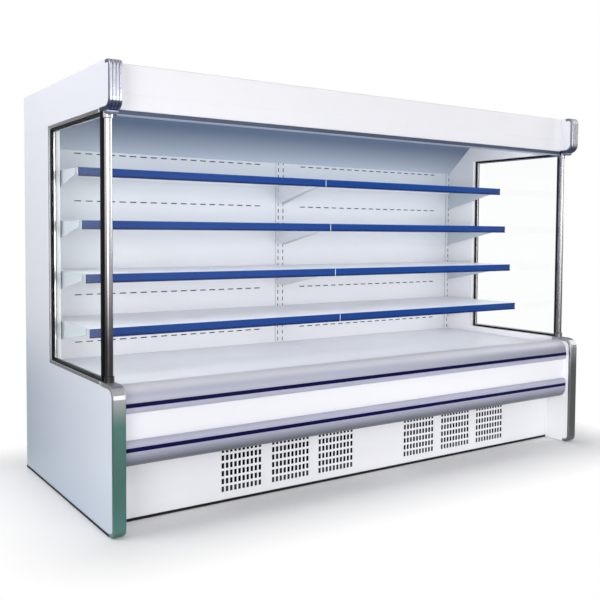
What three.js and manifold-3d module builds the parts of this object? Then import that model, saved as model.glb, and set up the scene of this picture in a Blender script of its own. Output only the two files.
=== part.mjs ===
import * as THREE from "three";
import { mergeGeometries, mergeVertices } from "three/addons/utils/BufferGeometryUtils.js";
import Module from "manifold-3d";

const wasm = await Module();
wasm.setup();

// Open multideck display fridge. Millimetres: X along the front, Y from the front to the rear, Z up from the floor.

// Cabinet.
const BAY_WIDTH = 1250;
const END_WALL = 50;
const DEPTH = 1114;
const HEIGHT = 1733;
const PANEL_BOTTOM = 2;
const BASE_HEIGHT = 559;
const CANOPY_BOTTOM = HEIGHT - 180;
const CANOPY_SETBACK = 20;
const WINDOW_REAR = DEPTH - 381;
const CLEAR = 0.3;
const SHEET = 2;
const OUTER_X = BAY_WIDTH + END_WALL;
const INNER_X = BAY_WIDTH - CLEAR;

// Front corners of the end walls, and the mouldings let into them.
const BASE_TOP_RADIUS = 48;
const BASE_TOE_RADIUS = 32;
const CANOPY_TOP_RADIUS = 26;
const CANOPY_LOWER_RADIUS = 44;
const TRIM = 4;
const TRIM_LEG = 14;
const TRIM_LEG_SHEET = 3;
const BASE_TRIM_ENDS = [125, 44];
const CANOPY_TRIM_ENDS = [66, 125];
const FLUTE_PITCH = 12.5;
const FLUTE_WIDTH = 5;
const FLUTE_DEPTH = 2;

// Base frame and feet.
const FRAME_BOTTOM = 30;
const FRAME_BEAM = 50;
const FRAME_TOP = 70;
const FRAME_FRONT = 162.3;
const FRAME_REAR = DEPTH - 2.3;
const UPRIGHT_POST = 40;
const FOOT_INSET = 25;

// Insulated body.
const TUB_FRONT = 62;
const TUB_BOTTOM = 262;
const TUB_FLOOR = 307;
const TUB_RIM = BASE_HEIGHT - 29;
const GRILLE_LEDGE = TUB_RIM - 8.3;
const BACK_WALL = DEPTH - 62;
const BACK_RIB = 2;
const ROOF_BOTTOM = HEIGHT - 43;

// Window in each end wall.
const POST_RADIUS = 15;
const POST_Y = 103;
const POST_COLLAR = 19;
const COLLAR_HEIGHT = 22;
const GASKET_WIDTH = 9;
const GASKET_OUT = 4;
const GASKET_IN = 30;
const GLASS_OUT = 9;
const GLASS_IN = 25;
const GASKET_GROOVE = 5;

// Inner back and shelving.
const DECK_TOP = BASE_HEIGHT - 32;
const BACK_PANEL_Y = DEPTH - 182;
const BACK_PANEL_TOP = HEIGHT - 244.3;
const BACK_PANEL_BOTTOM = DECK_TOP - 27;
const UPRIGHT_Y = DEPTH - 184;
const UPRIGHT_DEPTH = 20;
const UPRIGHT_HALF = 30;
const TIER_PITCH = (BACK_PANEL_TOP - DECK_TOP - 306.5) / 3;
const SLOT_PITCH = TIER_PITCH / 3;
const SLOT_HEIGHT = 20;
const SLOT_WIDTH = 5;
const BRACKET = 3;
const BRACKET_INNER_X = 15;
const BRACKET_OUTER_X = BAY_WIDTH - 8.5;
const SHELF_TOPS = [0, 1, 2, 3].map((tier) => BACK_PANEL_TOP - 108.7 - tier * TIER_PITCH);
const SHELF_FRONTS = [418, 460, 502, 544].map((reach) => UPRIGHT_Y - reach);
const SHELF_REAR = UPRIGHT_Y - 5;
const SHELF_INNER_X = 2;
const SHELF_OUTER_X = BAY_WIDTH - 6;
const HOOK_DROP = 10;
const STRIP_HEIGHT = 36.6;
const STRIP_DEPTH = 8;
const AIR_ROWS = [SHELF_TOPS[0] + 96, SHELF_TOPS[1] + 96, SHELF_TOPS[3] + 97.7, DECK_TOP + 75];
const AIR_SLOTS = 19;
const AIR_SLOT_PITCH = (BAY_WIDTH - 235.4) / AIR_SLOTS;
const AIR_SLOT_LENGTH = AIR_SLOT_PITCH - 20.4;
const AIR_SLOT_HEIGHT = 5;

// Deck.
const DECK_FRONT = 190;
const DECK_FLANGE = 22;
const RETURN_FRONT = 93;
const RETURN_TOP = DECK_TOP - 3;
const RETURN_SLOTS = 26;
const RETURN_PITCH = (2 * BAY_WIDTH - 56) / RETURN_SLOTS;

// Front of the base.
const BUMPER_Y = 30;
const BUMPER_SHEET = 2.5;
const UPPER_GROOVE = BASE_HEIGHT - 81.5;
const UPPER_EDGE = BASE_HEIGHT - 113;
const LOWER_EDGE = 345;
const LOWER_GROOVE = LOWER_EDGE - 32.8;
const FRONT_PANEL_Y = 50;
const KICK_Y = 160;
const KICK_BOTTOM = 8;
const VENT_COLUMNS = 10;
const VENT_ROWS = 6;
const VENT_WIDTH = 12;
const VENT_HEIGHT = 22.5;
const VENT_COLUMN_PITCH = 19.8;
const VENT_ROW_PITCH = 32.6;
const VENT_TOP_ROW = 217.6;
const VENT_PITCH = 245;
const VENT_STARTS = [-773, 219];

// Canopy and night blind.
const FASCIA_Y = 92;
const FASCIA_CREASE = HEIGHT - 109;
const FASCIA_BOTTOM = CANOPY_BOTTOM + 9.3;
const FASCIA_LIP = 10;
const FASCIA_FLANGE = 70;
const CEILING = HEIGHT - 83;
const LAMP_Y = 240;
const OUTLET_FRONT = 150;
const OUTLET_REAR = 210;
const OUTLET_BOTTOM = CANOPY_BOTTOM + 10;
const OUTLET_CELLS = 27;
const OUTLET_PITCH = (2 * BAY_WIDTH - 43) / OUTLET_CELLS;
const ROLLER_RADIUS = 22;
const ROLLER_Z = HEIGHT - 121;
const FABRIC = 0.8;
const FABRIC_Y = FASCIA_Y + FASCIA_LIP + 1.5;
const ROLLER_Y = FABRIC_Y + FABRIC + CLEAR + ROLLER_RADIUS;
const PULL_BAR_HEIGHT = 20;
const PULL_BAR_DEPTH = 28;

// Refrigeration.
const FAN_RADIUS = 72;
const FAN_HOLE = 78;
const FAN_HUB = 22;
const CONDENSER_X = [100 - 0.672 * BAY_WIDTH, -100];
const CONDENSER_Y = 176;
const CONDENSER_PLATE_Y = 300;
const CONDENSER_TOP = 250;
const CONDENSER_FIN_PITCH = 42;
const EVAPORATOR_FIN_PITCH = 90;
const EVAPORATOR_HALF = BAY_WIDTH - 150;
const EVAPORATOR_PLATE_Y = 300;
const EVAPORATOR_REAR = 600;
const COOLER_LIP = 30;
const EVAPORATOR_FAN_X = -625;
const EVAPORATOR_FAN_Z = (TUB_FLOOR + DECK_TOP) / 2 - 2;
const EVAPORATOR_TOP = DECK_TOP - 57;
const COMPRESSOR_X = 430;
const COMPRESSOR_Y = 380;

const cabinet = new THREE.Group();
cabinet.name = "display_fridge";
cabinet.position.y = -DEPTH / 2;

// One surface without seams and without flat triangles, on a grid of a micrometre.
function closed(geometry) {
  const bare = geometry.clone();
  bare.deleteAttribute("normal");
  bare.deleteAttribute("uv");
  const place = bare.attributes.position.array;
  place.forEach((value, i) => (place[i] = Math.round(value * 1000) / 1000));
  const merged = mergeVertices(bare, 1e-3);
  const index = merged.index.array;
  const kept = [];
  for (let i = 0; i < index.length; i += 3) {
    const [a, b, c] = [index[i], index[i + 1], index[i + 2]];
    if (a !== b && b !== c && c !== a) kept.push(a, b, c);
  }
  merged.setIndex(kept);
  return merged;
}

function facingOut(geometry) {
  const surface = closed(geometry);
  const index = surface.index.array;
  const [a, b, c] = [new THREE.Vector3(), new THREE.Vector3(), new THREE.Vector3()];
  let volume = 0;
  for (let i = 0; i < index.length; i += 3) {
    a.fromBufferAttribute(surface.attributes.position, index[i]);
    b.fromBufferAttribute(surface.attributes.position, index[i + 1]);
    c.fromBufferAttribute(surface.attributes.position, index[i + 2]);
    volume += a.dot(b.cross(c));
  }
  if (volume < 0) surface.setIndex(Array.from(index).reverse());
  return surface;
}

function solid(geometry) {
  const surface = closed(geometry);
  const vertProperties = surface.attributes.position.array;
  const triVerts = new Uint32Array(surface.index.array);
  return new wasm.Manifold(new wasm.Mesh({ numProp: 3, vertProperties, triVerts }));
}

function surfaceOf(body) {
  const mesh = body.getMesh();
  const geometry = new THREE.BufferGeometry();
  geometry.setAttribute("position", new THREE.BufferAttribute(mesh.vertProperties, 3));
  geometry.setIndex(Array.from(mesh.triVerts));
  return geometry;
}

function joined(...geometries) {
  return surfaceOf(geometries.map(solid).reduce((whole, next) => whole.add(next)));
}

function cut(geometry, ...tools) {
  return surfaceOf(tools.map(solid).reduce((whole, tool) => whole.subtract(tool), solid(geometry)));
}

function box([x0, x1], [y0, y1], [z0, z1]) {
  const block = new THREE.BoxGeometry(x1 - x0, y1 - y0, z1 - z0);
  return block.translate((x0 + x1) / 2, (y0 + y1) / 2, (z0 + z1) / 2);
}

// Blocks that stand clear of each other, as one tool.
function blocks(list) {
  return mergeGeometries(list.map(([x, y, z]) => box(x, y, z)));
}

// Outline with arcs: a corner is [u, v], or [u, v, radius] where it is rounded.
function rounded(corners, steps = 5) {
  const at = (i) => new THREE.Vector2(...corners[(i + corners.length) % corners.length].slice(0, 2));
  return corners.flatMap(([u, v, radius], i) => {
    if (!radius) return [[u, v]];
    const before = at(i - 1).sub(at(i)).normalize();
    const after = at(i + 1).sub(at(i)).normalize();
    const half = Math.acos(before.dot(after)) / 2;
    const centre = at(i).add(before.clone().add(after).setLength(radius / Math.sin(half)));
    const start = at(i).addScaledVector(before, radius / Math.tan(half)).sub(centre).angle();
    const end = at(i).addScaledVector(after, radius / Math.tan(half)).sub(centre).angle();
    const turn = Math.atan2(Math.sin(end - start), Math.cos(end - start));
    return Array.from({ length: steps + 1 }, (_, k) => {
      const angle = start + (turn * k) / steps;
      return [centre.x + radius * Math.cos(angle), centre.y + radius * Math.sin(angle)];
    });
  });
}

// Outline of a folded sheet: the path is its outer face and the thickness lies to the left of it.
function folded(path, thickness = SHEET) {
  const normal = (from, to) => new THREE.Vector2(from[1] - to[1], to[0] - from[0]).normalize();
  const inner = path.map((point, i) => {
    const before = normal(path[Math.max(i - 1, 0)], path[Math.max(i, 1)]);
    const last = path.length - 1;
    const after = normal(path[Math.min(i, last - 1)], path[Math.min(i + 1, last)]);
    const mitre = before.clone().add(after).multiplyScalar(thickness / (1 + before.dot(after)));
    return [point[0] + mitre.x, point[1] + mitre.y];
  });
  return [...path, ...inner.reverse()];
}

function extruded(outline, length, holes = []) {
  const shape = new THREE.Shape(outline.map(([u, v]) => new THREE.Vector2(u, v)));
  shape.holes = holes.map((hole) => new THREE.Path(hole.map(([u, v]) => new THREE.Vector2(u, v))));
  return new THREE.ExtrudeGeometry(shape, { depth: length, bevelEnabled: false });
}

const AXIS = {
  x: new THREE.Vector3(1, 0, 0),
  y: new THREE.Vector3(0, 1, 0),
  z: new THREE.Vector3(0, 0, 1),
};

// Outline in (y, z), along X.
function alongX(outline, [from, to], holes) {
  const turn = new THREE.Matrix4().makeBasis(AXIS.y, AXIS.z, AXIS.x);
  return extruded(outline, to - from, holes).applyMatrix4(turn).translate(from, 0, 0);
}

// Outline in (x, z), along Y.
function alongY(outline, [from, to], holes) {
  const turn = new THREE.Matrix4().makeBasis(AXIS.x, AXIS.z, AXIS.y.clone().negate());
  return extruded(outline, to - from, holes).applyMatrix4(turn).translate(0, to, 0);
}

// Outline in (x, y), along Z.
function alongZ(outline, [from, to], holes) {
  return extruded(outline, to - from, holes).translate(0, 0, from);
}

// Turned shape about Z: profile of [radius, z].
function turned(profile, segments) {
  const points = profile.map(([r, z]) => new THREE.Vector2(r, z));
  return facingOut(new THREE.LatheGeometry(points, segments).rotateX(Math.PI / 2));
}

function circle(u, v, radius, segments) {
  return Array.from({ length: segments }, (_, k) => {
    const angle = (2 * Math.PI * k) / segments;
    return [u + radius * Math.cos(angle), v + radius * Math.sin(angle)];
  });
}

// Range on one side of the middle: side is -1 for the left and 1 for the right.
function across(side, near, far) {
  return side < 0 ? [-far, -near] : [near, far];
}

function piece(name, geometry, color, roughness, metalness = 0) {
  const surface = geometry.index ? geometry.toNonIndexed() : geometry;
  surface.computeVertexNormals();
  const mesh = new THREE.Mesh(surface, new THREE.MeshStandardMaterial({ color, roughness, metalness }));
  mesh.name = name;
  cabinet.add(mesh);
  return mesh;
}

const SIDES = [
  [-1, "left"],
  [1, "right"],
];

// Front run of the base corner, drawn in by an inset; the same run serves the wall, its rebate and its moulding.
function baseRun(inset, gap = 0) {
  return rounded([
    [BASE_TRIM_ENDS[0] + gap, BASE_HEIGHT - inset],
    [inset, BASE_HEIGHT - inset, BASE_TOP_RADIUS - inset],
    [inset, PANEL_BOTTOM + inset, BASE_TOE_RADIUS - inset],
    [BASE_TRIM_ENDS[1] + gap, PANEL_BOTTOM + inset],
  ]);
}

function canopyRun(inset, gap = 0) {
  const front = CANOPY_SETBACK + inset;
  return rounded([
    [CANOPY_TRIM_ENDS[0] + gap, HEIGHT - inset],
    [front, HEIGHT - inset, CANOPY_TOP_RADIUS - inset],
    [front, CANOPY_BOTTOM + inset, CANOPY_LOWER_RADIUS - inset],
    [CANOPY_TRIM_ENDS[1] + gap, CANOPY_BOTTOM + inset],
  ]);
}

// End wall: C-shaped, open at the front for the window, with a fine seam at the canopy's height. Its front edges are
// drawn in for the mouldings, and a shallow band on each face takes their legs.
function endPanel(side) {
  const rebate = TRIM + CLEAR;
  const outline = [
    [DEPTH, HEIGHT],
    [CANOPY_TRIM_ENDS[0] + CLEAR, HEIGHT],
    ...canopyRun(rebate, CLEAR),
    [CANOPY_TRIM_ENDS[1] + CLEAR, CANOPY_BOTTOM],
    [WINDOW_REAR, CANOPY_BOTTOM],
    [WINDOW_REAR, BASE_HEIGHT],
    [BASE_TRIM_ENDS[0] + CLEAR, BASE_HEIGHT],
    ...baseRun(rebate, CLEAR),
    [BASE_TRIM_ENDS[1] + CLEAR, PANEL_BOTTOM],
    [DEPTH, PANEL_BOTTOM],
  ];
  const bands = [canopyRun, baseRun].flatMap((run) => {
    const band = [...run(-2, CLEAR), ...run(TRIM_LEG + CLEAR, CLEAR).reverse()];
    const leg = TRIM_LEG_SHEET + CLEAR;
    return [
      alongX(band, across(side, BAY_WIDTH - 1, BAY_WIDTH + leg)),
      alongX(band, across(side, OUTER_X - leg, OUTER_X + 1)),
    ];
  });
  const seam = box(
    across(side, OUTER_X - 0.8, OUTER_X + 1),
    [WINDOW_REAR - 1, DEPTH + 1],
    [CANOPY_BOTTOM, CANOPY_BOTTOM + 1.5],
  );
  return cut(alongX(outline, across(side, BAY_WIDTH, OUTER_X)), ...bands, seam);
}

// Moulding: its section of [across, depth] is carried along the run from the outer face to the inner one.
function moulding(side, run, section) {
  const outer = run(0);
  const inner = run(TRIM);
  const positions = outer.flatMap((point, i) =>
    section.flatMap(([x, depth]) => [
      side * (OUTER_X - x),
      THREE.MathUtils.lerp(point[0], inner[i][0], depth / TRIM),
      THREE.MathUtils.lerp(point[1], inner[i][1], depth / TRIM),
    ]),
  );
  const count = section.length;
  const index = [];
  for (let i = 0; i + 1 < outer.length; i++) {
    for (let k = 0; k < count; k++) {
      const [a, b] = [i * count + k, i * count + ((k + 1) % count)];
      index.push(a, b, b + count, a, b + count, a + count);
    }
  }
  const flat = section.map(([x, depth]) => new THREE.Vector2(x, depth));
  const far = (outer.length - 1) * count;
  for (const [a, b, c] of THREE.ShapeUtils.triangulateShape(flat, [])) {
    index.push(a, c, b, far + a, far + b, far + c);
  }
  const geometry = new THREE.BufferGeometry();
  geometry.setAttribute("position", new THREE.Float32BufferAttribute(positions, 3));
  geometry.setIndex(index);
  return facingOut(geometry);
}

// Section of a moulding: a channel with rounded corners, whose legs lie on both faces of the wall.
function channelSection(flutes) {
  const round = TRIM_LEG_SHEET;
  const corner = round * 0.3;
  const outer = [
    [0, TRIM_LEG],
    [0, round],
    [corner, corner],
    [round, 0],
  ];
  const grooves = flutes.flatMap((k) => [
    [k * FLUTE_PITCH - FLUTE_WIDTH / 2, 0],
    [k * FLUTE_PITCH, FLUTE_DEPTH],
    [k * FLUTE_PITCH + FLUTE_WIDTH / 2, 0],
  ]);
  const mirrored = outer.map(([x, depth]) => [END_WALL - x, depth]).reverse();
  const inner = [
    [END_WALL - TRIM_LEG_SHEET, TRIM_LEG],
    [END_WALL - TRIM_LEG_SHEET, TRIM],
    [TRIM_LEG_SHEET, TRIM],
    [TRIM_LEG_SHEET, TRIM_LEG],
  ];
  return [...outer, ...grooves, ...mirrored, ...inner];
}
const BASE_SECTION = channelSection([]);
const CANOPY_SECTION = channelSection([1, 2, 3]);

for (const [side, hand] of SIDES) {
  piece(`end_panel_${hand}`, endPanel(side), "#e9eaf3", 0.35);
  piece(`base_trim_${hand}`, moulding(side, baseRun, BASE_SECTION), "#8f9a99", 0.35, 0.9);
  piece(`canopy_trim_${hand}`, moulding(side, canopyRun, CANOPY_SECTION), "#c9ccd2", 0.18, 1);
}

// Base frame: welded square beams with short posts that carry the tub.
{
  const rail = [FRAME_BOTTOM, FRAME_TOP];
  const run = [FRAME_FRONT, FRAME_REAR];
  const post = [FRAME_TOP - 1, TUB_BOTTOM - CLEAR];
  const edge = [-INNER_X, INNER_X - FRAME_BEAM];
  const lengthwise = [FRAME_FRONT, 520, FRAME_REAR - FRAME_BEAM].map((y, i) =>
    box([-INNER_X, INNER_X], [y, y + (i === 1 ? 40 : FRAME_BEAM)], rail),
  );
  const crosswise = [...edge, -FRAME_BEAM / 2].map((x) => box([x, x + FRAME_BEAM], run, rail));
  const corners = [-INNER_X, -UPRIGHT_POST / 2, INNER_X - UPRIGHT_POST].flatMap((x) =>
    [FRAME_FRONT, FRAME_REAR - UPRIGHT_POST].map((y) => box([x, x + UPRIGHT_POST], [y, y + UPRIGHT_POST], post)),
  );
  piece("base_frame", joined(...lengthwise, ...crosswise, ...corners), "#7d8086", 0.5, 0.6);
}

// Levelling feet under the corners of the frame.
for (const [side, hand] of SIDES) {
  for (const [end, y] of [
    ["front", FRAME_FRONT + FOOT_INSET],
    ["rear", FRAME_REAR - FOOT_INSET],
  ]) {
    const top = FRAME_BOTTOM - CLEAR;
    const profile = [
      [0, 0],
      [FOOT_INSET, 0],
      [FOOT_INSET, 4],
      [10, 9],
      [10, 20],
      [14, 20],
      [14, top],
      [0, top],
    ];
    const foot = piece(`levelling_foot_${end}_${hand}`, turned(profile, 12), "#2b2c30", 0.6);
    foot.position.set(side * (INNER_X - FOOT_INSET), y, 0);
  }
}

// Insulated body: tub, back wall with pressed ribs, and roof.
{
  const rear = BACK_WALL - CLEAR;
  const outline = [
    [TUB_FRONT, TUB_BOTTOM],
    [rear, TUB_BOTTOM],
    [rear, TUB_FLOOR],
    [107, TUB_FLOOR],
    [107, GRILLE_LEDGE],
    [92, GRILLE_LEDGE],
    [92, TUB_RIM],
    [TUB_FRONT, TUB_RIM],
  ];
  piece("insulated_tub", alongX(outline, [-INNER_X, INNER_X]), "#e3e5ea", 0.4);

  const wallRear = DEPTH - BACK_RIB;
  const wall = box([-INNER_X, INNER_X], [BACK_WALL, wallRear], [TUB_BOTTOM, ROOF_BOTTOM - CLEAR]);
  const ribs = Array.from({ length: 6 }, (_, k) => {
    const x = ((k - 2.5) * 0.792 * BAY_WIDTH) / 2.5;
    return box([x - 40, x + 40], [wallRear - 1, DEPTH], [TUB_BOTTOM + 68, HEIGHT - 113]);
  });
  piece("insulated_back_wall", joined(wall, ...ribs), "#b9bcc2", 0.45, 0.4);

  const step = FASCIA_Y + FASCIA_FLANGE + CLEAR;
  const roof = [
    [FASCIA_Y + 8, ROOF_BOTTOM],
    [wallRear - CLEAR, ROOF_BOTTOM],
    [wallRear - CLEAR, HEIGHT],
    [step, HEIGHT],
    [step, HEIGHT - SHEET - CLEAR],
    [FASCIA_Y + 8, HEIGHT - SHEET - CLEAR],
  ];
  piece("canopy_roof", alongX(roof, [-INNER_X, INNER_X]), "#c4c7cc", 0.45, 0.4);
}

// Canopy: front sheet with its fold line, slanted duct liner, air outlet and lamp.
{
  const length = [-INNER_X, INNER_X];
  const fascia = rounded(
    [
      [FASCIA_Y + FASCIA_FLANGE, HEIGHT],
      [FASCIA_Y, HEIGHT, 6],
      [FASCIA_Y, FASCIA_CREASE],
      [FASCIA_Y + 2, FASCIA_CREASE - 6],
      [FASCIA_Y + 2, FASCIA_BOTTOM, 3],
      [FASCIA_Y + FASCIA_LIP, FASCIA_BOTTOM],
      [FASCIA_Y + FASCIA_LIP, FASCIA_BOTTOM + 6],
    ],
    3,
  );
  piece("canopy_fascia", alongX(folded(fascia), length), "#f1f1f6", 0.3);

  const liner = [
    [OUTLET_REAR + SHEET, OUTLET_BOTTOM],
    [OUTLET_REAR + SHEET, CEILING],
    [BACK_PANEL_Y - 184, CEILING],
    [BACK_PANEL_Y, BACK_PANEL_TOP + CLEAR],
  ];
  piece("canopy_duct_liner", alongX(folded(liner), length), "#dfe6ee", 0.4);

  const wall = box(length, [OUTLET_FRONT, OUTLET_FRONT + SHEET], [OUTLET_BOTTOM, ROOF_BOTTOM - CLEAR]);
  const core = box(length, [OUTLET_FRONT + 1, OUTLET_REAR - CLEAR], [OUTLET_BOTTOM, OUTLET_BOTTOM + 20]);
  const cells = blocks(
    Array.from({ length: OUTLET_CELLS }, (_, k) => [
      [30 - BAY_WIDTH + k * OUTLET_PITCH, 21 - BAY_WIDTH + (k + 1) * OUTLET_PITCH],
      [OUTLET_FRONT + 6, OUTLET_REAR - 6],
      [OUTLET_BOTTOM - 1, OUTLET_BOTTOM + 21],
    ]),
  );
  piece("air_outlet_honeycomb", cut(joined(wall, core), cells), "#d8dce4", 0.5);

  const lamp = rounded(
    [
      [LAMP_Y, CEILING - CLEAR],
      [LAMP_Y, CEILING - 24, 12],
      [LAMP_Y + 32, CEILING - 24, 12],
      [LAMP_Y + 32, CEILING - CLEAR],
    ],
    4,
  );
  piece("canopy_lamp", alongX(lamp, [50 - BAY_WIDTH, BAY_WIDTH - 50]), "#f6f8ff", 0.4);
}

// Night blind: roller, fabric and pull bar.
{
  const roller = turned(
    [
      [0, -INNER_X],
      [8, -INNER_X],
      [8, -INNER_X + 7],
      [ROLLER_RADIUS, -INNER_X + 7],
      [ROLLER_RADIUS, INNER_X - 7],
      [8, INNER_X - 7],
      [8, INNER_X],
      [0, INNER_X],
    ],
    16,
  );
  const tube = piece("night_blind_roller", roller.rotateY(Math.PI / 2), "#c8ccd2", 0.4, 0.8);
  tube.position.set(0, ROLLER_Y, ROLLER_Z);

  const fabric = box([10 - BAY_WIDTH, BAY_WIDTH - 10], [FABRIC_Y, FABRIC_Y + FABRIC], [FASCIA_BOTTOM, ROLLER_Z]);
  piece("night_blind_fabric", fabric, "#9fa6b4", 0.9);

  const top = FASCIA_BOTTOM - CLEAR;
  const front = FASCIA_Y + 2;
  const bar = rounded(
    [
      [front, top],
      [front, top - PULL_BAR_HEIGHT, 3],
      [front + PULL_BAR_DEPTH, top - PULL_BAR_HEIGHT, 3],
      [front + PULL_BAR_DEPTH, top],
    ],
    3,
  );
  piece("night_blind_pull_bar", alongX(bar, [5 - BAY_WIDTH, BAY_WIDTH - 5]), "#47505e", 0.4, 0.3);
}

// Corner post, black window frame and glass in each end wall.
for (const [side, hand] of SIDES) {
  const low = BASE_HEIGHT + CLEAR;
  const high = CANOPY_BOTTOM - CLEAR;
  const post = turned(
    [
      [0, low],
      [POST_COLLAR, low],
      [POST_COLLAR, low + COLLAR_HEIGHT],
      [POST_RADIUS, low + COLLAR_HEIGHT + 3],
      [POST_RADIUS, high - COLLAR_HEIGHT - 3],
      [POST_COLLAR, high - COLLAR_HEIGHT],
      [POST_COLLAR, high],
      [0, high],
    ],
    18,
  );
  const mesh = piece(`corner_post_${hand}`, post, "#c6c8cc", 0.22, 1);
  mesh.position.set(side * (OUTER_X - END_WALL / 2), POST_Y, 0);

  const ring = (inset) => [
    [POST_Y + POST_COLLAR + CLEAR + inset, low + inset],
    [WINDOW_REAR - CLEAR - inset, low + inset],
    [WINDOW_REAR - CLEAR - inset, high - inset],
    [POST_Y + POST_COLLAR + CLEAR + inset, high - inset],
  ];
  const frame = alongX(ring(0), across(side, OUTER_X - GASKET_IN, OUTER_X - GASKET_OUT), [ring(GASKET_WIDTH)]);
  const seat = GASKET_WIDTH - GASKET_GROOVE;
  const groove = alongX(ring(seat), across(side, OUTER_X - GLASS_IN - CLEAR, OUTER_X - GLASS_OUT + CLEAR));
  piece(`window_gasket_${hand}`, cut(frame, groove), "#15161a", 0.6);
  const glass = alongX(ring(seat + CLEAR), across(side, OUTER_X - GLASS_IN, OUTER_X - GLASS_OUT));
  piece(`window_glass_${hand}`, glass, "#cfe0ea", 0.05);
}

// Shelf uprights: folded channels with a column of hook slots for each bracket.
{
  const low = TUB_FLOOR + CLEAR;
  const rear = UPRIGHT_Y + UPRIGHT_DEPTH;
  const slotBase = SHELF_TOPS[0] - HOOK_DROP - CLEAR;
  const slots = (x) =>
    Array.from({ length: 15 }, (_, k) => [
      [x - SLOT_WIDTH / 2, x + SLOT_WIDTH / 2],
      [UPRIGHT_Y - 1, UPRIGHT_Y + SHEET + 1],
      [slotBase + SLOT_PITCH * (1 - k), slotBase + SLOT_PITCH * (1 - k) + SLOT_HEIGHT],
    ]);
  const channel = (x0, x1, columns) => {
    const path = [
      [x1, rear],
      [x1, UPRIGHT_Y],
      [x0, UPRIGHT_Y],
      [x0, rear],
    ];
    const outline = folded(path.reverse());
    return cut(alongZ(outline, [low, BACK_PANEL_TOP]), blocks(columns.flatMap(slots)));
  };
  const centre = channel(-UPRIGHT_HALF, UPRIGHT_HALF, [-BRACKET_INNER_X, BRACKET_INNER_X]);
  piece("shelf_upright_center", centre, "#e6e8ee", 0.4);
  for (const [side, hand] of SIDES) {
    const [x0, x1] = across(side, INNER_X - UPRIGHT_HALF, INNER_X);
    piece(`shelf_upright_${hand}`, channel(x0, x1, [side * BRACKET_OUTER_X]), "#e6e8ee", 0.4);
  }
}

// Inner back panels: sheets with a foot flange and rows of air slots.
for (const [side, hand] of SIDES) {
  const [x0, x1] = across(side, UPRIGHT_HALF + CLEAR, INNER_X - UPRIGHT_HALF - CLEAR);
  const middle = (x0 + x1) / 2;
  const path = [
    [BACK_PANEL_Y, BACK_PANEL_TOP],
    [BACK_PANEL_Y, BACK_PANEL_BOTTOM],
    [UPRIGHT_Y + UPRIGHT_DEPTH, BACK_PANEL_BOTTOM],
  ];
  const slots = AIR_ROWS.flatMap((z) =>
    Array.from({ length: AIR_SLOTS }, (_, k) => {
      const x = middle + (k - (AIR_SLOTS - 1) / 2) * AIR_SLOT_PITCH;
      return [
        [x - AIR_SLOT_LENGTH / 2, x + AIR_SLOT_LENGTH / 2],
        [BACK_PANEL_Y - 1, BACK_PANEL_Y + SHEET + 1],
        [z - AIR_SLOT_HEIGHT / 2, z + AIR_SLOT_HEIGHT / 2],
      ];
    }),
  );
  piece(`inner_back_panel_${hand}`, cut(alongX(folded(path), [x0, x1]), blocks(slots)), "#eceef4", 0.4);
}

// Bracket plate: hook on the bottom of its slot, and a lug in the slot below.
function bracket(front, top) {
  const rear = UPRIGHT_Y - CLEAR;
  const hook = top - HOOK_DROP;
  const lug = hook - SLOT_PITCH;
  return [
    [front + 45, top - 1.5],
    [UPRIGHT_Y - 4, top - 1.5],
    [UPRIGHT_Y - 4, hook + 7],
    [UPRIGHT_Y + 8, hook + 7],
    [UPRIGHT_Y + 8, hook + 3],
    [rear, hook],
    [rear, lug + 12],
    [SHELF_REAR + 10, lug + 12],
    [SHELF_REAR + 10, lug + 4],
    [rear, lug + 4],
    [rear, top - 112],
    [front + 45, top - 26],
  ];
}

for (const [side, hand] of SIDES) {
  SHELF_TOPS.forEach((top, i) => {
    const front = SHELF_FRONTS[i];
    const path = [
      [SHELF_REAR, top - 18],
      [SHELF_REAR, top],
      [front + STRIP_DEPTH + CLEAR, top],
      [front + STRIP_DEPTH + CLEAR, top - 30],
    ];
    const tray = alongX(folded(path), across(side, SHELF_INNER_X, SHELF_OUTER_X));
    const plates = [BRACKET_INNER_X, BRACKET_OUTER_X].map((x) =>
      alongX(bracket(front, top), across(side, x - BRACKET / 2, x + BRACKET / 2)),
    );
    piece(`shelf_${i + 1}_${hand}`, joined(tray, ...plates), "#e8ebf2", 0.35);

    const low = top - STRIP_HEIGHT;
    const strip = [
      [front, low],
      [front + STRIP_DEPTH, low],
      [front + STRIP_DEPTH, top],
      [front, top],
      [front, top - 4],
      [front + 1.5, top - 4],
      [front + 1.5, low + 4],
      [front, low + 4],
    ];
    const length = across(side, SHELF_INNER_X - 0.5, SHELF_OUTER_X + 1);
    piece(`price_strip_${i + 1}_${hand}`, alongX(strip, length), "#1a3a94", 0.3);
  });
}

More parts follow.
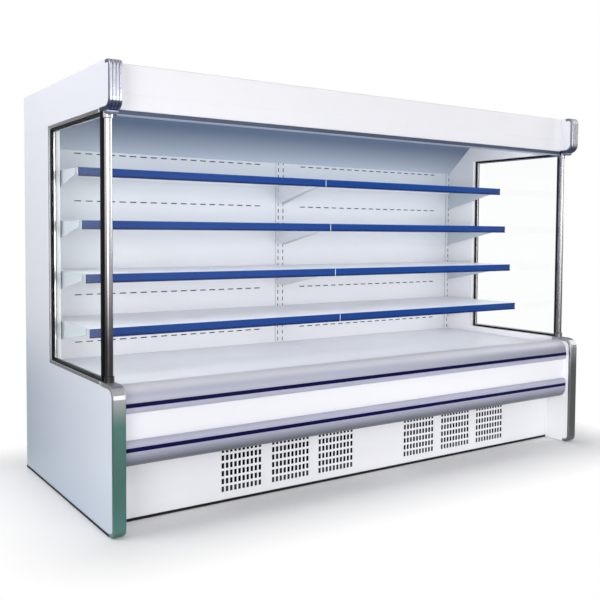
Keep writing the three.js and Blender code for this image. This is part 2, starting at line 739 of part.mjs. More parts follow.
// Deck pans, and the return air grille in front of them.
for (const [side, hand] of SIDES) {
  const path = [
    [UPRIGHT_Y - CLEAR, DECK_TOP - DECK_FLANGE],
    [UPRIGHT_Y - CLEAR, DECK_TOP],
    [DECK_FRONT, DECK_TOP],
    [DECK_FRONT, DECK_TOP - DECK_FLANGE],
  ];
  const length = across(side, SHELF_INNER_X, BAY_WIDTH - 2);
  const runs = [
    [DECK_FRONT + 1, EVAPORATOR_PLATE_Y - 2],
    [EVAPORATOR_PLATE_Y + COOLER_LIP + 2, UPRIGHT_Y - 1],
  ];
  const flanges = [length[0] + 1, length[1] - SHEET - 1].flatMap((x) =>
    runs.map((y) => box([x, x + SHEET], y, [DECK_TOP - DECK_FLANGE + 1, DECK_TOP - 1])),
  );
  piece(`deck_pan_${hand}`, joined(alongX(folded(path), length), ...flanges), "#dadde4", 0.35);
}
{
  const path = [
    [DECK_FRONT - CLEAR, RETURN_TOP - 12],
    [DECK_FRONT - CLEAR, RETURN_TOP],
    [RETURN_FRONT, RETURN_TOP],
  ];
  const sheet = alongX(folded(path), [-INNER_X, INNER_X]);
  const slots = Array.from({ length: RETURN_SLOTS }, (_, k) => {
    const x = (k - (RETURN_SLOTS - 1) / 2) * RETURN_PITCH;
    return [
      [x - RETURN_PITCH / 2 + 11, x + RETURN_PITCH / 2 - 11],
      [112, 172],
      [RETURN_TOP - SHEET - 1, RETURN_TOP + 1],
    ];
  });
  piece("return_air_grille", cut(sheet, blocks(slots)), "#d4d8e0", 0.4);
}

// Bumpers, the panel between them, and the kick panel with its vents.
function bezier(from, c1, c2, to, steps) {
  const vector = ([u, v]) => new THREE.Vector2(u, v);
  const curve = new THREE.CubicBezierCurve(vector(from), vector(c1), vector(c2), vector(to));
  return curve.getPoints(steps).map((p) => [p.x, p.y]);
}
{
  const length = [-INNER_X, INNER_X];
  const back = FRONT_PANEL_Y - CLEAR;
  const groove = (z) => [
    [BUMPER_Y, z + 8.5],
    [BUMPER_Y + 1.5, z + 7],
    [BUMPER_Y + 1.5, z - 7],
    [BUMPER_Y, z - 8.5],
  ];
  const crown = BASE_HEIGHT - 8.5;
  const upper = [
    [92, TUB_RIM + CLEAR],
    [92, crown - 4.5],
    ...bezier([88, crown], [66, crown - 1.5], [36, crown - 16.5], [BUMPER_Y, crown - 58.5], 9),
    ...groove(UPPER_GROOVE),
    ...rounded([
      [BUMPER_Y, UPPER_GROOVE - 7.5],
      [BUMPER_Y, UPPER_EDGE, 14],
      [back, UPPER_EDGE],
    ]).slice(1),
  ];
  piece("bumper_upper", alongX(folded(upper, BUMPER_SHEET), length), "#c3c4d6", 0.4);

  const lower = [
    ...rounded([
      [back, LOWER_EDGE],
      [BUMPER_Y, LOWER_EDGE, 14],
      [BUMPER_Y, LOWER_GROOVE + 7.8],
    ]).slice(0, -1),
    ...groove(LOWER_GROOVE),
    ...bezier([BUMPER_Y, 296], [BUMPER_Y, 262], [52, 241], [96, 238], 7),
    [KICK_Y - CLEAR, 236],
    [KICK_Y - CLEAR, TUB_BOTTOM - CLEAR],
  ];
  piece("bumper_lower", alongX(folded(lower, BUMPER_SHEET), length), "#c3c4d6", 0.4);

  const panel = [
    [TUB_FRONT - CLEAR, UPPER_EDGE + 10],
    [FRONT_PANEL_Y, UPPER_EDGE + 10],
    [FRONT_PANEL_Y, LOWER_EDGE - 10],
    [TUB_FRONT - CLEAR, LOWER_EDGE - 10],
  ];
  piece("front_panel", alongX(folded(panel), length), "#f1f1f6", 0.3);

  const kick = [
    [KICK_Y, TUB_BOTTOM - CLEAR],
    [KICK_Y, KICK_BOTTOM],
    [KICK_Y + 12, KICK_BOTTOM],
  ];
  const vents = VENT_STARTS.flatMap((start) =>
    [0, 1, 2].flatMap((group) =>
      Array.from({ length: VENT_COLUMNS * VENT_ROWS }, (_, k) => {
        const x = start + group * VENT_PITCH + (k % VENT_COLUMNS) * VENT_COLUMN_PITCH;
        const z = VENT_TOP_ROW - Math.floor(k / VENT_COLUMNS) * VENT_ROW_PITCH;
        return [
          [x, x + VENT_WIDTH],
          [KICK_Y - 1, KICK_Y + SHEET + 1],
          [z - VENT_HEIGHT / 2, z + VENT_HEIGHT / 2],
        ];
      }),
    ),
  );
  piece("kick_panel", cut(alongX(folded(kick), length), blocks(vents)), "#eeeef5", 0.35);
}

// Fan: hub with five pitched blades, turning about Y at its own origin.
function fan() {
  const hub = turned(
    [
      [0, -FAN_HUB / 2],
      [20, -FAN_HUB / 2],
      [20, FAN_HUB / 2],
      [0, FAN_HUB / 2],
    ],
    15,
  ).rotateX(Math.PI / 2);
  const blades = Array.from({ length: 5 }, (_, k) => {
    const blade = box([14, FAN_RADIUS - 2], [-1.5, 1.5], [-17, 17]).rotateX(THREE.MathUtils.degToRad(28));
    return blade.rotateY((2 * Math.PI * k) / 5);
  });
  return joined(hub, ...blades);
}

// Motor with its shaft, and the bar that carries it behind the fan's hole.
function motor(x, y, z) {
  const can = turned(
    [
      [0, 0],
      [28, 0],
      [28, 46],
      [0, 46],
    ],
    16,
  );
  const shaft = turned(
    [
      [0, 0],
      [5, 0],
      [5, 11],
      [0, 11],
    ],
    10,
  );
  const reach = FAN_HOLE + 12;
  return joined(
    can.rotateX(-Math.PI / 2).translate(x, y + 22, z),
    shaft.rotateX(-Math.PI / 2).translate(x, y + SHEET / 2 + FAN_HUB / 2 + CLEAR, z),
    box([x - reach, x + reach], [y + 20, y + 28], [z - 5, z + 5]),
    box([x - reach, x - reach + 8], [y + 1, y + 21], [z - 5, z + 5]),
    box([x + reach - 8, x + reach], [y + 1, y + 21], [z - 5, z + 5]),
  );
}

// Block of fins: a comb seen from the front.
function fins([x0, x1], depth, [z0, z1], spacing) {
  const count = Math.floor((x1 - x0) / spacing);
  const pitch = (x1 - x0) / count;
  const teeth = Array.from({ length: count }, (_, k) => [
    [x0 + k * pitch, z0 + 20],
    [x0 + k * pitch, z1],
    [x0 + (k + 0.45) * pitch, z1],
    [x0 + (k + 0.45) * pitch, z0 + 20],
  ]).flat();
  return alongY([[x0, z0], ...teeth, [x1, z0 + 20], [x1, z0]].reverse(), depth);
}

// Condensing set on the base frame, under the tub.
{
  const [x0, x1] = CONDENSER_X;
  const middle = (x0 + x1) / 2;
  const low = FRAME_TOP + CLEAR;
  const hub = (low + CONDENSER_TOP) / 2;
  const plateRear = CONDENSER_PLATE_Y + SHEET;
  const plate = alongY(
    [
      [x0, low],
      [x1, low],
      [x1, CONDENSER_TOP],
      [x0, CONDENSER_TOP],
    ],
    [CONDENSER_PLATE_Y, plateRear],
    [circle(middle, hub, FAN_HOLE, 20)],
  );
  const shroud = [
    box([x0, x0 + SHEET], [CONDENSER_Y, plateRear], [low, CONDENSER_TOP]),
    box([x1 - SHEET, x1], [CONDENSER_Y, plateRear], [low, CONDENSER_TOP]),
    box([x0, x1], [CONDENSER_Y, plateRear], [CONDENSER_TOP - SHEET, CONDENSER_TOP]),
  ];
  const coil = fins([x0 + 1, x1 - 1], [CONDENSER_Y, CONDENSER_Y + 60], [low, CONDENSER_TOP - 20], CONDENSER_FIN_PITCH);
  const whole = joined(plate, ...shroud, coil, motor(middle, CONDENSER_PLATE_Y, hub));
  piece("condenser_coil", whole, "#6f7378", 0.5, 0.6);
  piece("condenser_fan", fan(), "#2c2e33", 0.5).position.set(middle, CONDENSER_PLATE_Y + SHEET / 2, hub);

  const shell = turned(
    [
      [0, low],
      [80, low],
      [86, 90],
      [86, 150],
      [92, 152],
      [92, 160],
      [86, 162],
      [84, 205],
      [66, 232],
      [34, 244],
      [0, 246],
    ],
    18,
  ).translate(COMPRESSOR_X, COMPRESSOR_Y, 0);
  const plateBox = box([COMPRESSOR_X - 130, COMPRESSOR_X + 130], [FRAME_FRONT + 26, 550], [low, low + 4]);
  const terminals = box([COMPRESSOR_X + 78, COMPRESSOR_X + 118], [COMPRESSOR_Y - 28, COMPRESSOR_Y + 28], [125, 185]);
  piece("compressor", joined(shell, plateBox, terminals), "#222326", 0.45, 0.3);
}

// Cooling set in the tub, under the deck: fan plate, fin block and fan.
{
  const low = TUB_FLOOR + CLEAR;
  const high = DECK_TOP - SHEET - CLEAR;
  const rear = EVAPORATOR_PLATE_Y + SHEET;
  const plate = alongY(
    [
      [-INNER_X, low],
      [INNER_X, low],
      [INNER_X, high - 1],
      [-INNER_X, high - 1],
    ],
    [EVAPORATOR_PLATE_Y, rear],
    [circle(EVAPORATOR_FAN_X, EVAPORATOR_FAN_Z, FAN_HOLE, 20)],
  );
  const lipRun = [EVAPORATOR_PLATE_Y - 1, EVAPORATOR_PLATE_Y + COOLER_LIP];
  const lip = box([1 - INNER_X, INNER_X - 1], lipRun, [high - SHEET, high]);
  const cheeks = [-EVAPORATOR_HALF, EVAPORATOR_HALF - 4].map((x) =>
    box([x, x + 4], [EVAPORATOR_PLATE_Y + 1, EVAPORATOR_REAR + 4], [low + 0.5, EVAPORATOR_TOP + 5]),
  );
  const width = [-EVAPORATOR_HALF + 2, EVAPORATOR_HALF - 2];
  const block = fins(width, [430, EVAPORATOR_REAR], [TUB_FLOOR + 13, EVAPORATOR_TOP], EVAPORATOR_FIN_PITCH);
  const drive = motor(EVAPORATOR_FAN_X, EVAPORATOR_PLATE_Y, EVAPORATOR_FAN_Z);
  piece("evaporator_coil", joined(plate, lip, ...cheeks, block, drive), "#aab0b8", 0.4, 0.7);
  const wheel = piece("evaporator_fan", fan(), "#2c2e33", 0.5);
  wheel.position.set(EVAPORATOR_FAN_X, EVAPORATOR_PLATE_Y + SHEET / 2, EVAPORATOR_FAN_Z);
}

const displayFridge = new THREE.Group();
displayFridge.add(cabinet);

export default displayFridge;
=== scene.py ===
import math

import bpy
from mathutils import Matrix, Vector


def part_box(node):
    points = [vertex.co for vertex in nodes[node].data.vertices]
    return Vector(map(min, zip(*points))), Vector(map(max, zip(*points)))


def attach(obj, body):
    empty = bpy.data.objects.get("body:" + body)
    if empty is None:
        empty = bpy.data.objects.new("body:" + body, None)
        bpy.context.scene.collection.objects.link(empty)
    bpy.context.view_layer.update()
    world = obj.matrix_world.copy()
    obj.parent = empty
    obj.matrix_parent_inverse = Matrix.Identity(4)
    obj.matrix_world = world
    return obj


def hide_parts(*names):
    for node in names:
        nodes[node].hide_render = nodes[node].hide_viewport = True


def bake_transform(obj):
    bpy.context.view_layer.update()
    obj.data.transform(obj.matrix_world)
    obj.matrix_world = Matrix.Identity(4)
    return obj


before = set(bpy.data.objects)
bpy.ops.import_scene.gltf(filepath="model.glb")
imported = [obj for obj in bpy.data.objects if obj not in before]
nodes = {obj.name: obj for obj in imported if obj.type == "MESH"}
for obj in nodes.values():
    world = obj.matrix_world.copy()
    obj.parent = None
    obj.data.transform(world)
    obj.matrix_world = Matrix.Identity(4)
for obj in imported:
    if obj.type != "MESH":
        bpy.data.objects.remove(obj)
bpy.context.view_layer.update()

bpy.context.scene.view_settings.view_transform = "Standard"


# Camera. It stands at the left front corner of the cabinet, at about chest height, and looks along the deck
# towards the far end wall, turned 34 degrees from the cabinet's depth.
def aim(place, yaw, pitch, roll):
    """Camera matrix for a turn from the depth axis, a dip and a tilt, in degrees."""
    yaw, pitch, roll = (math.radians(angle) for angle in (yaw, pitch, roll))
    ahead = Vector((math.sin(yaw) * math.cos(pitch), math.cos(yaw) * math.cos(pitch), -math.sin(pitch)))
    level = Vector((math.cos(yaw), -math.sin(yaw), 0))
    over = level.cross(ahead)
    right = level * math.cos(roll) + over * math.sin(roll)
    up = over * math.cos(roll) - level * math.sin(roll)
    turned = Matrix((right, up, -ahead)).transposed().to_4x4()
    turned.translation = place
    return turned


lens = bpy.data.cameras.new("camera")
lens.sensor_width = 36
lens.lens = 48.65
lens.shift_x = -0.00425
lens.shift_y = -0.0497
lens.clip_end = 60
camera = bpy.data.objects.new("camera", lens)
bpy.context.collection.objects.link(camera)
camera.matrix_world = aim(Vector((-2.3542, -3.3181, 1.1156)), yaw=34.105, pitch=2.624, roll=0.373)
bpy.context.scene.camera = camera


# Studio. A pale floor under soft boxes, with a white surround that glass and metal show as well. The floor
# turns to the surround's white away from the cabinet, so that only the cabinet's own shadow is left on it.
FLOOR_SIZE = 24
PAPER_GRAIN = 0.0167
HALF_CABINET = (1.3, 0.557, 0)
SHADOW_REACH = 0.4
FLOOR_IN_METAL = 0.32
SURROUND_LIGHT = 0.34
FLAGS = 4
FLAG_TURN = -0.8
FLAG_FROM = -0.1
FLAG_FULL = 0.5
FLAG_GREY = 0.8
SMOOTH = {"interpolation_type": "SMOOTHSTEP"}


def linear(code):
    """Colour from its sRGB hex value."""
    parts = [int(code[i:i + 2], 16) / 255 for i in (1, 3, 5)]
    return tuple(c / 12.92 if c <= 0.04045 else ((c + 0.055) / 1.055) ** 2.4 for c in parts) + (1,)


def feed(node, inputs):
    """Fill a node's inputs: each takes a value, or another node's output."""
    for key, value in inputs.items():
        if isinstance(value, bpy.types.NodeSocket):
            node.id_data.links.new(value, node.inputs[key])
        else:
            node.inputs[key].default_value = value


def add(tree, kind, inputs=None, **settings):
    """Add a node. A Mix takes its share at 0 and its colours at 6 and 7, a Map Range its limits at 1 to 4."""
    node = tree.nodes.new("ShaderNode" + kind)
    for key, value in settings.items():
        setattr(node, key, value)
    feed(node, inputs or {})
    return node


def start(name):
    """New material: its tree, its shader and the Object coordinates."""
    finish = bpy.data.materials.new(name)
    finish.use_nodes = True
    tree = finish.node_tree
    return finish, tree, tree.nodes["Principled BSDF"], add(tree, "TexCoord").outputs["Object"]


def split_rays(tree):
    """Share of the rays that show the studio's white, and of those that only metal throws back."""
    ray = add(tree, "LightPath")
    direct, glossy, through = (ray.outputs[f"Is {kind} Ray"] for kind in ("Camera", "Glossy", "Transmission"))
    seen = add(tree, "Math", {0: direct, 1: glossy}, operation="ADD")
    seen = add(tree, "Math", {0: seen.outputs[0], 1: through}, operation="ADD", use_clamp=True)
    metal = add(tree, "Math", {0: glossy, 1: through}, operation="SUBTRACT")
    metal = add(tree, "Math", {0: metal.outputs[0], 1: 0}, operation="MAXIMUM")
    return seen.outputs[0], metal.outputs[0]


bpy.ops.object.select_all(action="DESELECT")
bpy.ops.mesh.primitive_plane_add(size=FLOOR_SIZE)
floor = bpy.context.object
floor.name = "studio_floor"

# Studio paper: matt and barely fibrous.
paper, tree, shader, place = start("matt white studio paper")
grain = add(tree, "TexNoise", {"Vector": place, "Scale": 1 / PAPER_GRAIN, "Detail": 3}).outputs["Fac"]
tone = add(tree, "Mix", {0: grain, 6: linear("#f4f4f6"), 7: linear("#fafafb")}, data_type="RGBA")
feed(shader, {"Base Color": tone.outputs[2], "Roughness": 0.9, "Specular IOR Level": 0.1})
past = add(tree, "VectorMath", {0: place}, operation="ABSOLUTE")
past = add(tree, "VectorMath", {0: past.outputs[0], 1: HALF_CABINET}, operation="SUBTRACT")
past = add(tree, "VectorMath", {0: past.outputs[0], 1: (0, 0, 0)}, operation="MAXIMUM")
away = add(tree, "VectorMath", {0: past.outputs[0]}, operation="LENGTH")
fade = add(tree, "MapRange", {"Value": away.outputs["Value"], 1: 0, 2: SHADOW_REACH})
seen, metal = split_rays(tree)
share = add(tree, "Math", {0: seen, 1: fade.outputs[0]}, operation="MULTIPLY")
level = add(tree, "MapRange", {"Value": metal, 3: 1, 4: FLOOR_IN_METAL})
glow = add(tree, "Emission", {"Color": (1, 1, 1, 1), "Strength": level.outputs[0]})
blend = add(tree, "MixShader", {0: share.outputs[0], 1: shader.outputs[0], 2: glow.outputs[0]})
feed(tree.nodes["Material Output"], {"Surface": blend.outputs[0]})
floor.data.materials.append(paper)

# The surround lights the object less than it shows. Tall grey flags stand round the studio, which only metal
# picks up, so that round and folded metal shows its form.
surround = bpy.data.worlds.new("white surround")
bpy.context.scene.world = surround
surround.use_nodes = True
tree = surround.node_tree
seen, metal = split_rays(tree)
level = add(tree, "MapRange", {"Value": seen, 3: SURROUND_LIGHT, 4: 1})
way = add(tree, "SeparateXYZ", {0: add(tree, "TexCoord").outputs["Generated"]})
bearing = add(tree, "Math", {0: way.outputs["Y"], 1: way.outputs["X"]}, operation="ARCTAN2")
turns = add(tree, "Math", {0: bearing.outputs[0], 1: FLAGS, 2: FLAG_TURN}, operation="MULTIPLY_ADD")
swing = add(tree, "Math", {0: turns.outputs[0]}, operation="SINE")
flag = add(tree, "MapRange", {"Value": swing.outputs[0], 1: FLAG_FROM, 2: FLAG_FULL, 4: FLAG_GREY}, **SMOOTH)
flag = add(tree, "Math", {0: flag.outputs[0], 1: metal}, operation="MULTIPLY")
dim = add(tree, "Math", {0: 1, 1: flag.outputs[0]}, operation="SUBTRACT")
total = add(tree, "Math", {0: level.outputs[0], 1: dim.outputs[0]}, operation="MULTIPLY")
feed(tree.nodes["Background"], {"Color": (1, 1, 1, 1), "Strength": total.outputs[0]})


# Soft boxes. Six stand round the cabinet. Three long ones light its inside, in its mouth, at its own lamp and
# under the lowest shelves, and a narrow one the foot of the far end wall.
INSIDE_LENGTH = 2.4
NARROW_SPREAD = math.radians(32)


def soft_box(name, place, target, size, power, length=None):
    """Square or long soft box that faces its target."""
    lamp = bpy.data.lights.new(name, "AREA")
    lamp.shape = "RECTANGLE"
    lamp.size = length or size
    lamp.size_y = size
    lamp.energy = power
    holder = bpy.data.objects.new(name, lamp)
    bpy.context.collection.objects.link(holder)
    holder.location = place
    holder.rotation_euler = (Vector(target) - Vector(place)).to_track_quat("-Z", "Y").to_euler()
    holder.visible_camera = False
    return holder


soft_box("high_soft_box", (-0.6, -4.4, 4.2), (0, 0, 0.8), size=3.0, power=24)
soft_box("low_soft_box", (1.3, -6.2, 0.7), (0.2, 0, 0.7), size=3.6, power=129)
soft_box("corner_soft_box", (-4.8, -4.0, 1.3), (0.4, -0.2, 0.9), size=2.4, power=88)
soft_box("left_soft_box", (-3.1, 0.1, 2.9), (-1.3, 0, 1.2), size=1.8, power=40)
soft_box("right_soft_box", (5.6, -1.6, 2.4), (0, 0, 0.9), size=2.6, power=56)
soft_box("rear_soft_box", (0.0, 5.4, 3.2), (0, 0, 0.9), size=3.2, power=60)
for name, place, target, size, power in (
    ("mouth_soft_box", (0, -0.44, 1.02), (0, 0.38, 1.00), 0.86, 7.2),
    ("canopy_soft_box", (0, -0.30, 1.54), (0, 0.30, 1.20), 0.06, 2.2),
    ("shelf_soft_box", (0, 0.14, 0.66), (0, 0.16, 0.5), 0.36, 1.1),
):
    soft_box(name, place, target, size, power, INSIDE_LENGTH).visible_glossy = False
narrow = soft_box("side_soft_box", (-2.6, -2.4, 0.5), (1.28, -0.48, 0.33), size=0.8, power=1.4)
narrow.data.spread = NARROW_SPREAD


# End walls. Foamed sandwich panels with skins of white powder-coated steel, C-shaped round the window and
# screwed to the tub and the frame. The outer skin is painted in shade: greyer than the inner skin, and cooler
# and darker still below, most of all at its toe and its rear.
WALL_SHADED_TO = 0.34
WALL_LIT_FROM = 0.80
WALL_TOE_SHADE_TO = 0.32
WALL_REAR = 0.55
WALL_FRONT = -0.5
OUTER_SKIN = 1.28
CLOUD = 0.625
PEEL = 0.0025
PEEL_RELIEF = 0.12


def dress(finish, *names):
    """Give a finish to CAD nodes."""
    for name in names:
        data = nodes[name].data
        data.materials.clear()
        data.materials.append(finish)


def orange_peel(tree, place, width, relief):
    """Relief of a sprayed and baked coat, from the width of its peel."""
    peel = add(tree, "TexNoise", {"Vector": place, "Scale": 1 / width, "Detail": 2})
    bump = add(tree, "Bump", {"Height": peel.outputs["Fac"], "Strength": relief, "Distance": 0.0004})
    return bump.outputs[0]


# Powder-coated steel: a satin white coat, sprayed and baked. Its peel is 2.5 mm wide and barely catches light.
wall_coat, tree, shader, place = start("white powder-coated steel, end wall")
parts = add(tree, "SeparateXYZ", {0: place})
# Painted shade: the outer skin is greyer than the inner one, and darker downwards, at its toe and rear.
rise = add(tree, "MapRange", {"Value": parts.outputs["Z"], 1: WALL_SHADED_TO, 2: WALL_LIT_FROM}, **SMOOTH)
ahead = add(tree, "MapRange", {"Value": parts.outputs["Y"], 1: WALL_REAR, 2: WALL_FRONT})
cloud = add(tree, "TexNoise", {"Vector": place, "Scale": 1 / CLOUD, "Detail": 2}).outputs["Fac"]
rear = add(tree, "Mix", {0: cloud, 6: linear("#acb9c8"), 7: linear("#b5c1cf")}, data_type="RGBA")
toe = add(tree, "MapRange", {"Value": parts.outputs["Z"], 1: 0, 2: WALL_TOE_SHADE_TO}, **SMOOTH)
front = add(tree, "Mix", {0: toe.outputs[0], 6: linear("#c9d3e2"), 7: linear("#dbe3ef")}, data_type="RGBA")
low = add(tree, "Mix", {0: ahead.outputs[0], 6: rear.outputs[2], 7: front.outputs[2]}, data_type="RGBA")
outer = add(tree, "Mix", {0: rise.outputs[0], 6: low.outputs[2], 7: linear("#dfe2ea")}, data_type="RGBA")
across = add(tree, "Math", {0: parts.outputs["X"]}, operation="ABSOLUTE")
skin = add(tree, "Math", {0: across.outputs[0], 1: OUTER_SKIN}, operation="GREATER_THAN")
tone = add(tree, "Mix", {0: skin.outputs[0], 6: linear("#f8f8fb"), 7: outer.outputs[2]}, data_type="RGBA")
feed(shader, {"Base Color": tone.outputs[2], "Normal": orange_peel(tree, place, PEEL, PEEL_RELIEF)})
feed(shader, {"Roughness": 0.34})
dress(wall_coat, "end_panel_left", "end_panel_right")


# Front sheets. The same coat on folded steel, whiter, with a faint shade along its length from the rolling;
# the fascia is a little duller. In the kick panel the punched edges of the slots, right behind its front face,
# are painted dark as shade inside the slots.
KICK_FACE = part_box("kick_panel")[0].y
RECESS_SHADE_FROM = 0.0001
RECESS_SHADE_TO = 0.0004
FASCIA_FROM = 1.50
FASCIA_TO = 1.55


def drawn(tree, place, scale, detail=2):
    """Noise in hairs per metre, stretched along the way a sheet, a tube or a profile was drawn or brushed."""
    run = add(tree, "Mapping", {"Vector": place, "Scale": scale})
    return add(tree, "TexNoise", {"Vector": run.outputs[0], "Scale": 1, "Detail": detail}).outputs["Fac"]


for name, sheets in (
    ("white powder-coated steel, front sheets", ("canopy_fascia", "front_panel", "insulated_tub")),
    ("white powder-coated steel, punched", ("kick_panel",)),
):
    sheet_coat, tree, shader, place = start(name)
    parts = add(tree, "SeparateXYZ", {0: place})
    band = drawn(tree, place, (0.6, 8, 14))
    tone = add(tree, "Mix", {0: band, 6: linear("#f3f3fa"), 7: linear("#fafafd")}, data_type="RGBA")
    high = add(tree, "MapRange", {"Value": parts.outputs["Z"], 1: FASCIA_FROM, 2: FASCIA_TO})
    tone = add(tree, "Mix", {0: high.outputs[0], 6: tone.outputs[2], 7: linear("#f3f3f8")}, data_type="RGBA")
    # Painted shade inside the slots: their punched edges, right behind the front face, are dark.
    if "kick_panel" in sheets:
        limits = {1: KICK_FACE + RECESS_SHADE_FROM, 2: KICK_FACE + RECESS_SHADE_TO}
        bare = add(tree, "MapRange", {"Value": parts.outputs["Y"], **limits}).outputs[0]
        tone = add(tree, "Mix", {0: bare, 6: tone.outputs[2], 7: linear("#33353a")}, data_type="RGBA")
    feed(shader, {"Base Color": tone.outputs[2], "Normal": orange_peel(tree, place, PEEL, PEEL_RELIEF)})
    feed(shader, {"Roughness": 0.3})
    dress(sheet_coat, *sheets)


# Mouldings of the end walls. Aluminium channels pressed over the front edge of each wall: the base ones are
# brushed and anodised and the canopy ones polished, with flutes along their run. Their colours hold painted
# reflections: the left base one greener than the right, and the right pair duller than the left.
TRIM_HIGHLIGHT_START = 0.40
TRIM_HIGHLIGHT_FULL = 0.53
WALL_FACE = 1.3
FLUTE = 0.00625
FLUTE_GROOVE = 0.0008
FLUTE_CROWN = 0.0038
SHADED_TO = 1.565
LIT_FROM = 1.602
BRUSH = (1 / 0.0016, 1 / 0.0016, 1 / 0.05)
METAL_WIPE = 0.04

# Brushed and anodised: hairs 1.6 mm apart, drawn that coarse so that they show, and 50 mm long.
base_metal, tree, shader, place = start("anodised aluminium, brushed, grey-green")
parts = add(tree, "SeparateXYZ", {0: place})
# Painted highlight along the rounded top; below it painted reflection, green on the left and grey on the
# right.
rise = add(tree, "MapRange", {"Value": parts.outputs["Z"], 1: TRIM_HIGHLIGHT_START, 2: TRIM_HIGHLIGHT_FULL}, **SMOOTH)
hairs = drawn(tree, place, BRUSH, detail=3)
green = add(tree, "Mix", {0: hairs, 6: linear("#4f8079"), 7: linear("#719a93")}, data_type="RGBA")
grey = add(tree, "Mix", {0: hairs, 6: linear("#656768"), 7: linear("#868788")}, data_type="RGBA")
far = add(tree, "Math", {0: parts.outputs["X"], 1: 0}, operation="GREATER_THAN")
dark = add(tree, "Mix", {0: far.outputs[0], 6: green.outputs[2], 7: grey.outputs[2]}, data_type="RGBA")
tone = add(tree, "Mix", {0: rise.outputs[0], 6: dark.outputs[2], 7: linear("#b4b5b6")}, data_type="RGBA")
bump = add(tree, "Bump", {"Height": hairs, "Strength": 0.1, "Distance": 0.0002})
feed(shader, {"Base Color": tone.outputs[2], "Normal": bump.outputs[0], "Metallic": 0.85, "Roughness": 0.32})
dress(base_metal, "base_trim_left", "base_trim_right")

# Polished: mirror-like crowns between grooves painted darker with shade and dirt, wiped in clouds 40 mm wide;
# the shaded foot is slate blue.
bright_metal, tree, shader, place = start("polished aluminium, fluted")
parts = add(tree, "SeparateXYZ", {0: place})
outward = add(tree, "Math", {0: parts.outputs["X"]}, operation="ABSOLUTE")
inset = add(tree, "Math", {0: WALL_FACE, 1: outward.outputs[0]}, operation="SUBTRACT")
# Painted shade and dirt in the grooves between the flutes.
flute = add(tree, "Math", {0: inset.outputs[0], 1: FLUTE}, operation="PINGPONG")
ridge = add(tree, "MapRange", {"Value": flute.outputs[0], 1: FLUTE_GROOVE, 2: FLUTE_CROWN}, **SMOOTH)
rise = add(tree, "MapRange", {"Value": parts.outputs["Z"], 1: SHADED_TO, 2: LIT_FROM}, **SMOOTH)
wipe = add(tree, "TexNoise", {"Vector": place, "Scale": 1 / METAL_WIPE, "Detail": 3}).outputs["Fac"]
near = add(tree, "Mix", {0: wipe, 6: linear("#c6c7d4"), 7: linear("#dbdce6")}, data_type="RGBA")
# Painted reflection: the right moulding is a duller, warmer grey than the left.
far = add(tree, "Math", {0: parts.outputs["X"], 1: 0}, operation="GREATER_THAN")
pale = add(tree, "Mix", {0: far.outputs[0], 6: near.outputs[2], 7: linear("#ccccc3")}, data_type="RGBA")
lined = add(tree, "Mix", {0: ridge.outputs[0], 6: linear("#9496a9"), 7: pale.outputs[2]}, data_type="RGBA")
tone = add(tree, "Mix", {0: rise.outputs[0], 6: linear("#4d5876"), 7: lined.outputs[2]}, data_type="RGBA")
gloss = add(tree, "MapRange", {"Value": wipe, 3: 0.16, 4: 0.3})
feed(shader, {"Base Color": tone.outputs[2], "Roughness": gloss.outputs[0], "Metallic": 0.9})
dress(bright_metal, "canopy_trim_left", "canopy_trim_right")


# Frame, feet and the hidden sheets. The frame is welded square tube with black paint, the feet are moulded
# plastic, and the back wall, the roof and the blind's roller are bare galvanised sheet with its crystals.
CRYSTAL = 0.014
HANDS = ("left", "right")


def mottled(name, size, detail, tones, look, relief=None):
    """Finish of two colours in patches of a size; a relief, where one is given, is a strength and a depth."""
    finish, tree, shader, place = start(name)
    grain = add(tree, "TexNoise", {"Vector": place, "Scale": 1 / size, "Detail": detail}).outputs["Fac"]
    tone = add(tree, "Mix", {0: grain, 6: linear(tones[0]), 7: linear(tones[1])}, data_type="RGBA")
    feed(shader, {"Base Color": tone.outputs[2], **look})
    if relief:
        bump = add(tree, "Bump", {"Height": grain, "Strength": relief[0], "Distance": relief[1]})
        feed(shader, {"Normal": bump.outputs[0]})
    return finish


# Brushed-on black paint: satin, with runs some 30 mm wide.
frame_paint = mottled(
    "black paint on welded steel tube",
    size=0.0286,
    detail=4,
    tones=("#0c0d0f", "#16171a"),
    look={"Roughness": 0.5},
    relief=(0.15, 0.0005),
)
dress(frame_paint, "base_frame")

# Moulded polyamide: dull black, with the 1 mm grain of its mould.
foot_plastic = mottled(
    "black moulded polyamide",
    size=0.001,
    detail=2,
    tones=("#1d1e20", "#303236"),
    look={"Roughness": 0.6},
    relief=(0.2, 0.0002),
)
dress(foot_plastic, *[f"levelling_foot_{end}_{hand}" for end in ("front", "rear") for hand in HANDS])

# Galvanised sheet: crystals 14 mm wide, each with its own grey and gloss.
zinc, tree, shader, place = start("galvanised steel sheet")
crystal = add(tree, "TexVoronoi", {"Vector": place, "Scale": 1 / CRYSTAL}, feature="F1")
shade = add(tree, "SeparateColor", {0: crystal.outputs["Color"]}).outputs[0]
tone = add(tree, "Mix", {0: shade, 6: linear("#a9adb4"), 7: linear("#c9ccd1")}, data_type="RGBA")
gloss = add(tree, "MapRange", {"Value": shade, 3: 0.34, 4: 0.52})
feed(shader, {"Base Color": tone.outputs[2], "Roughness": gloss.outputs[0], "Metallic": 0.6})
dress(zinc, "insulated_back_wall", "canopy_roof", "night_blind_roller")


# Canopy inside. The duct liner is pre-painted steel that falls to the back panels, painted greyer towards its
# top as shade under the canopy, and an opal tube lamp lies under it.
LINER_TOP = 1.620
LINER_FOOT = 1.487
LINER_FALL = 1.3
PAINT_PEEL = 0.003
PAINT_RELIEF = 0.1

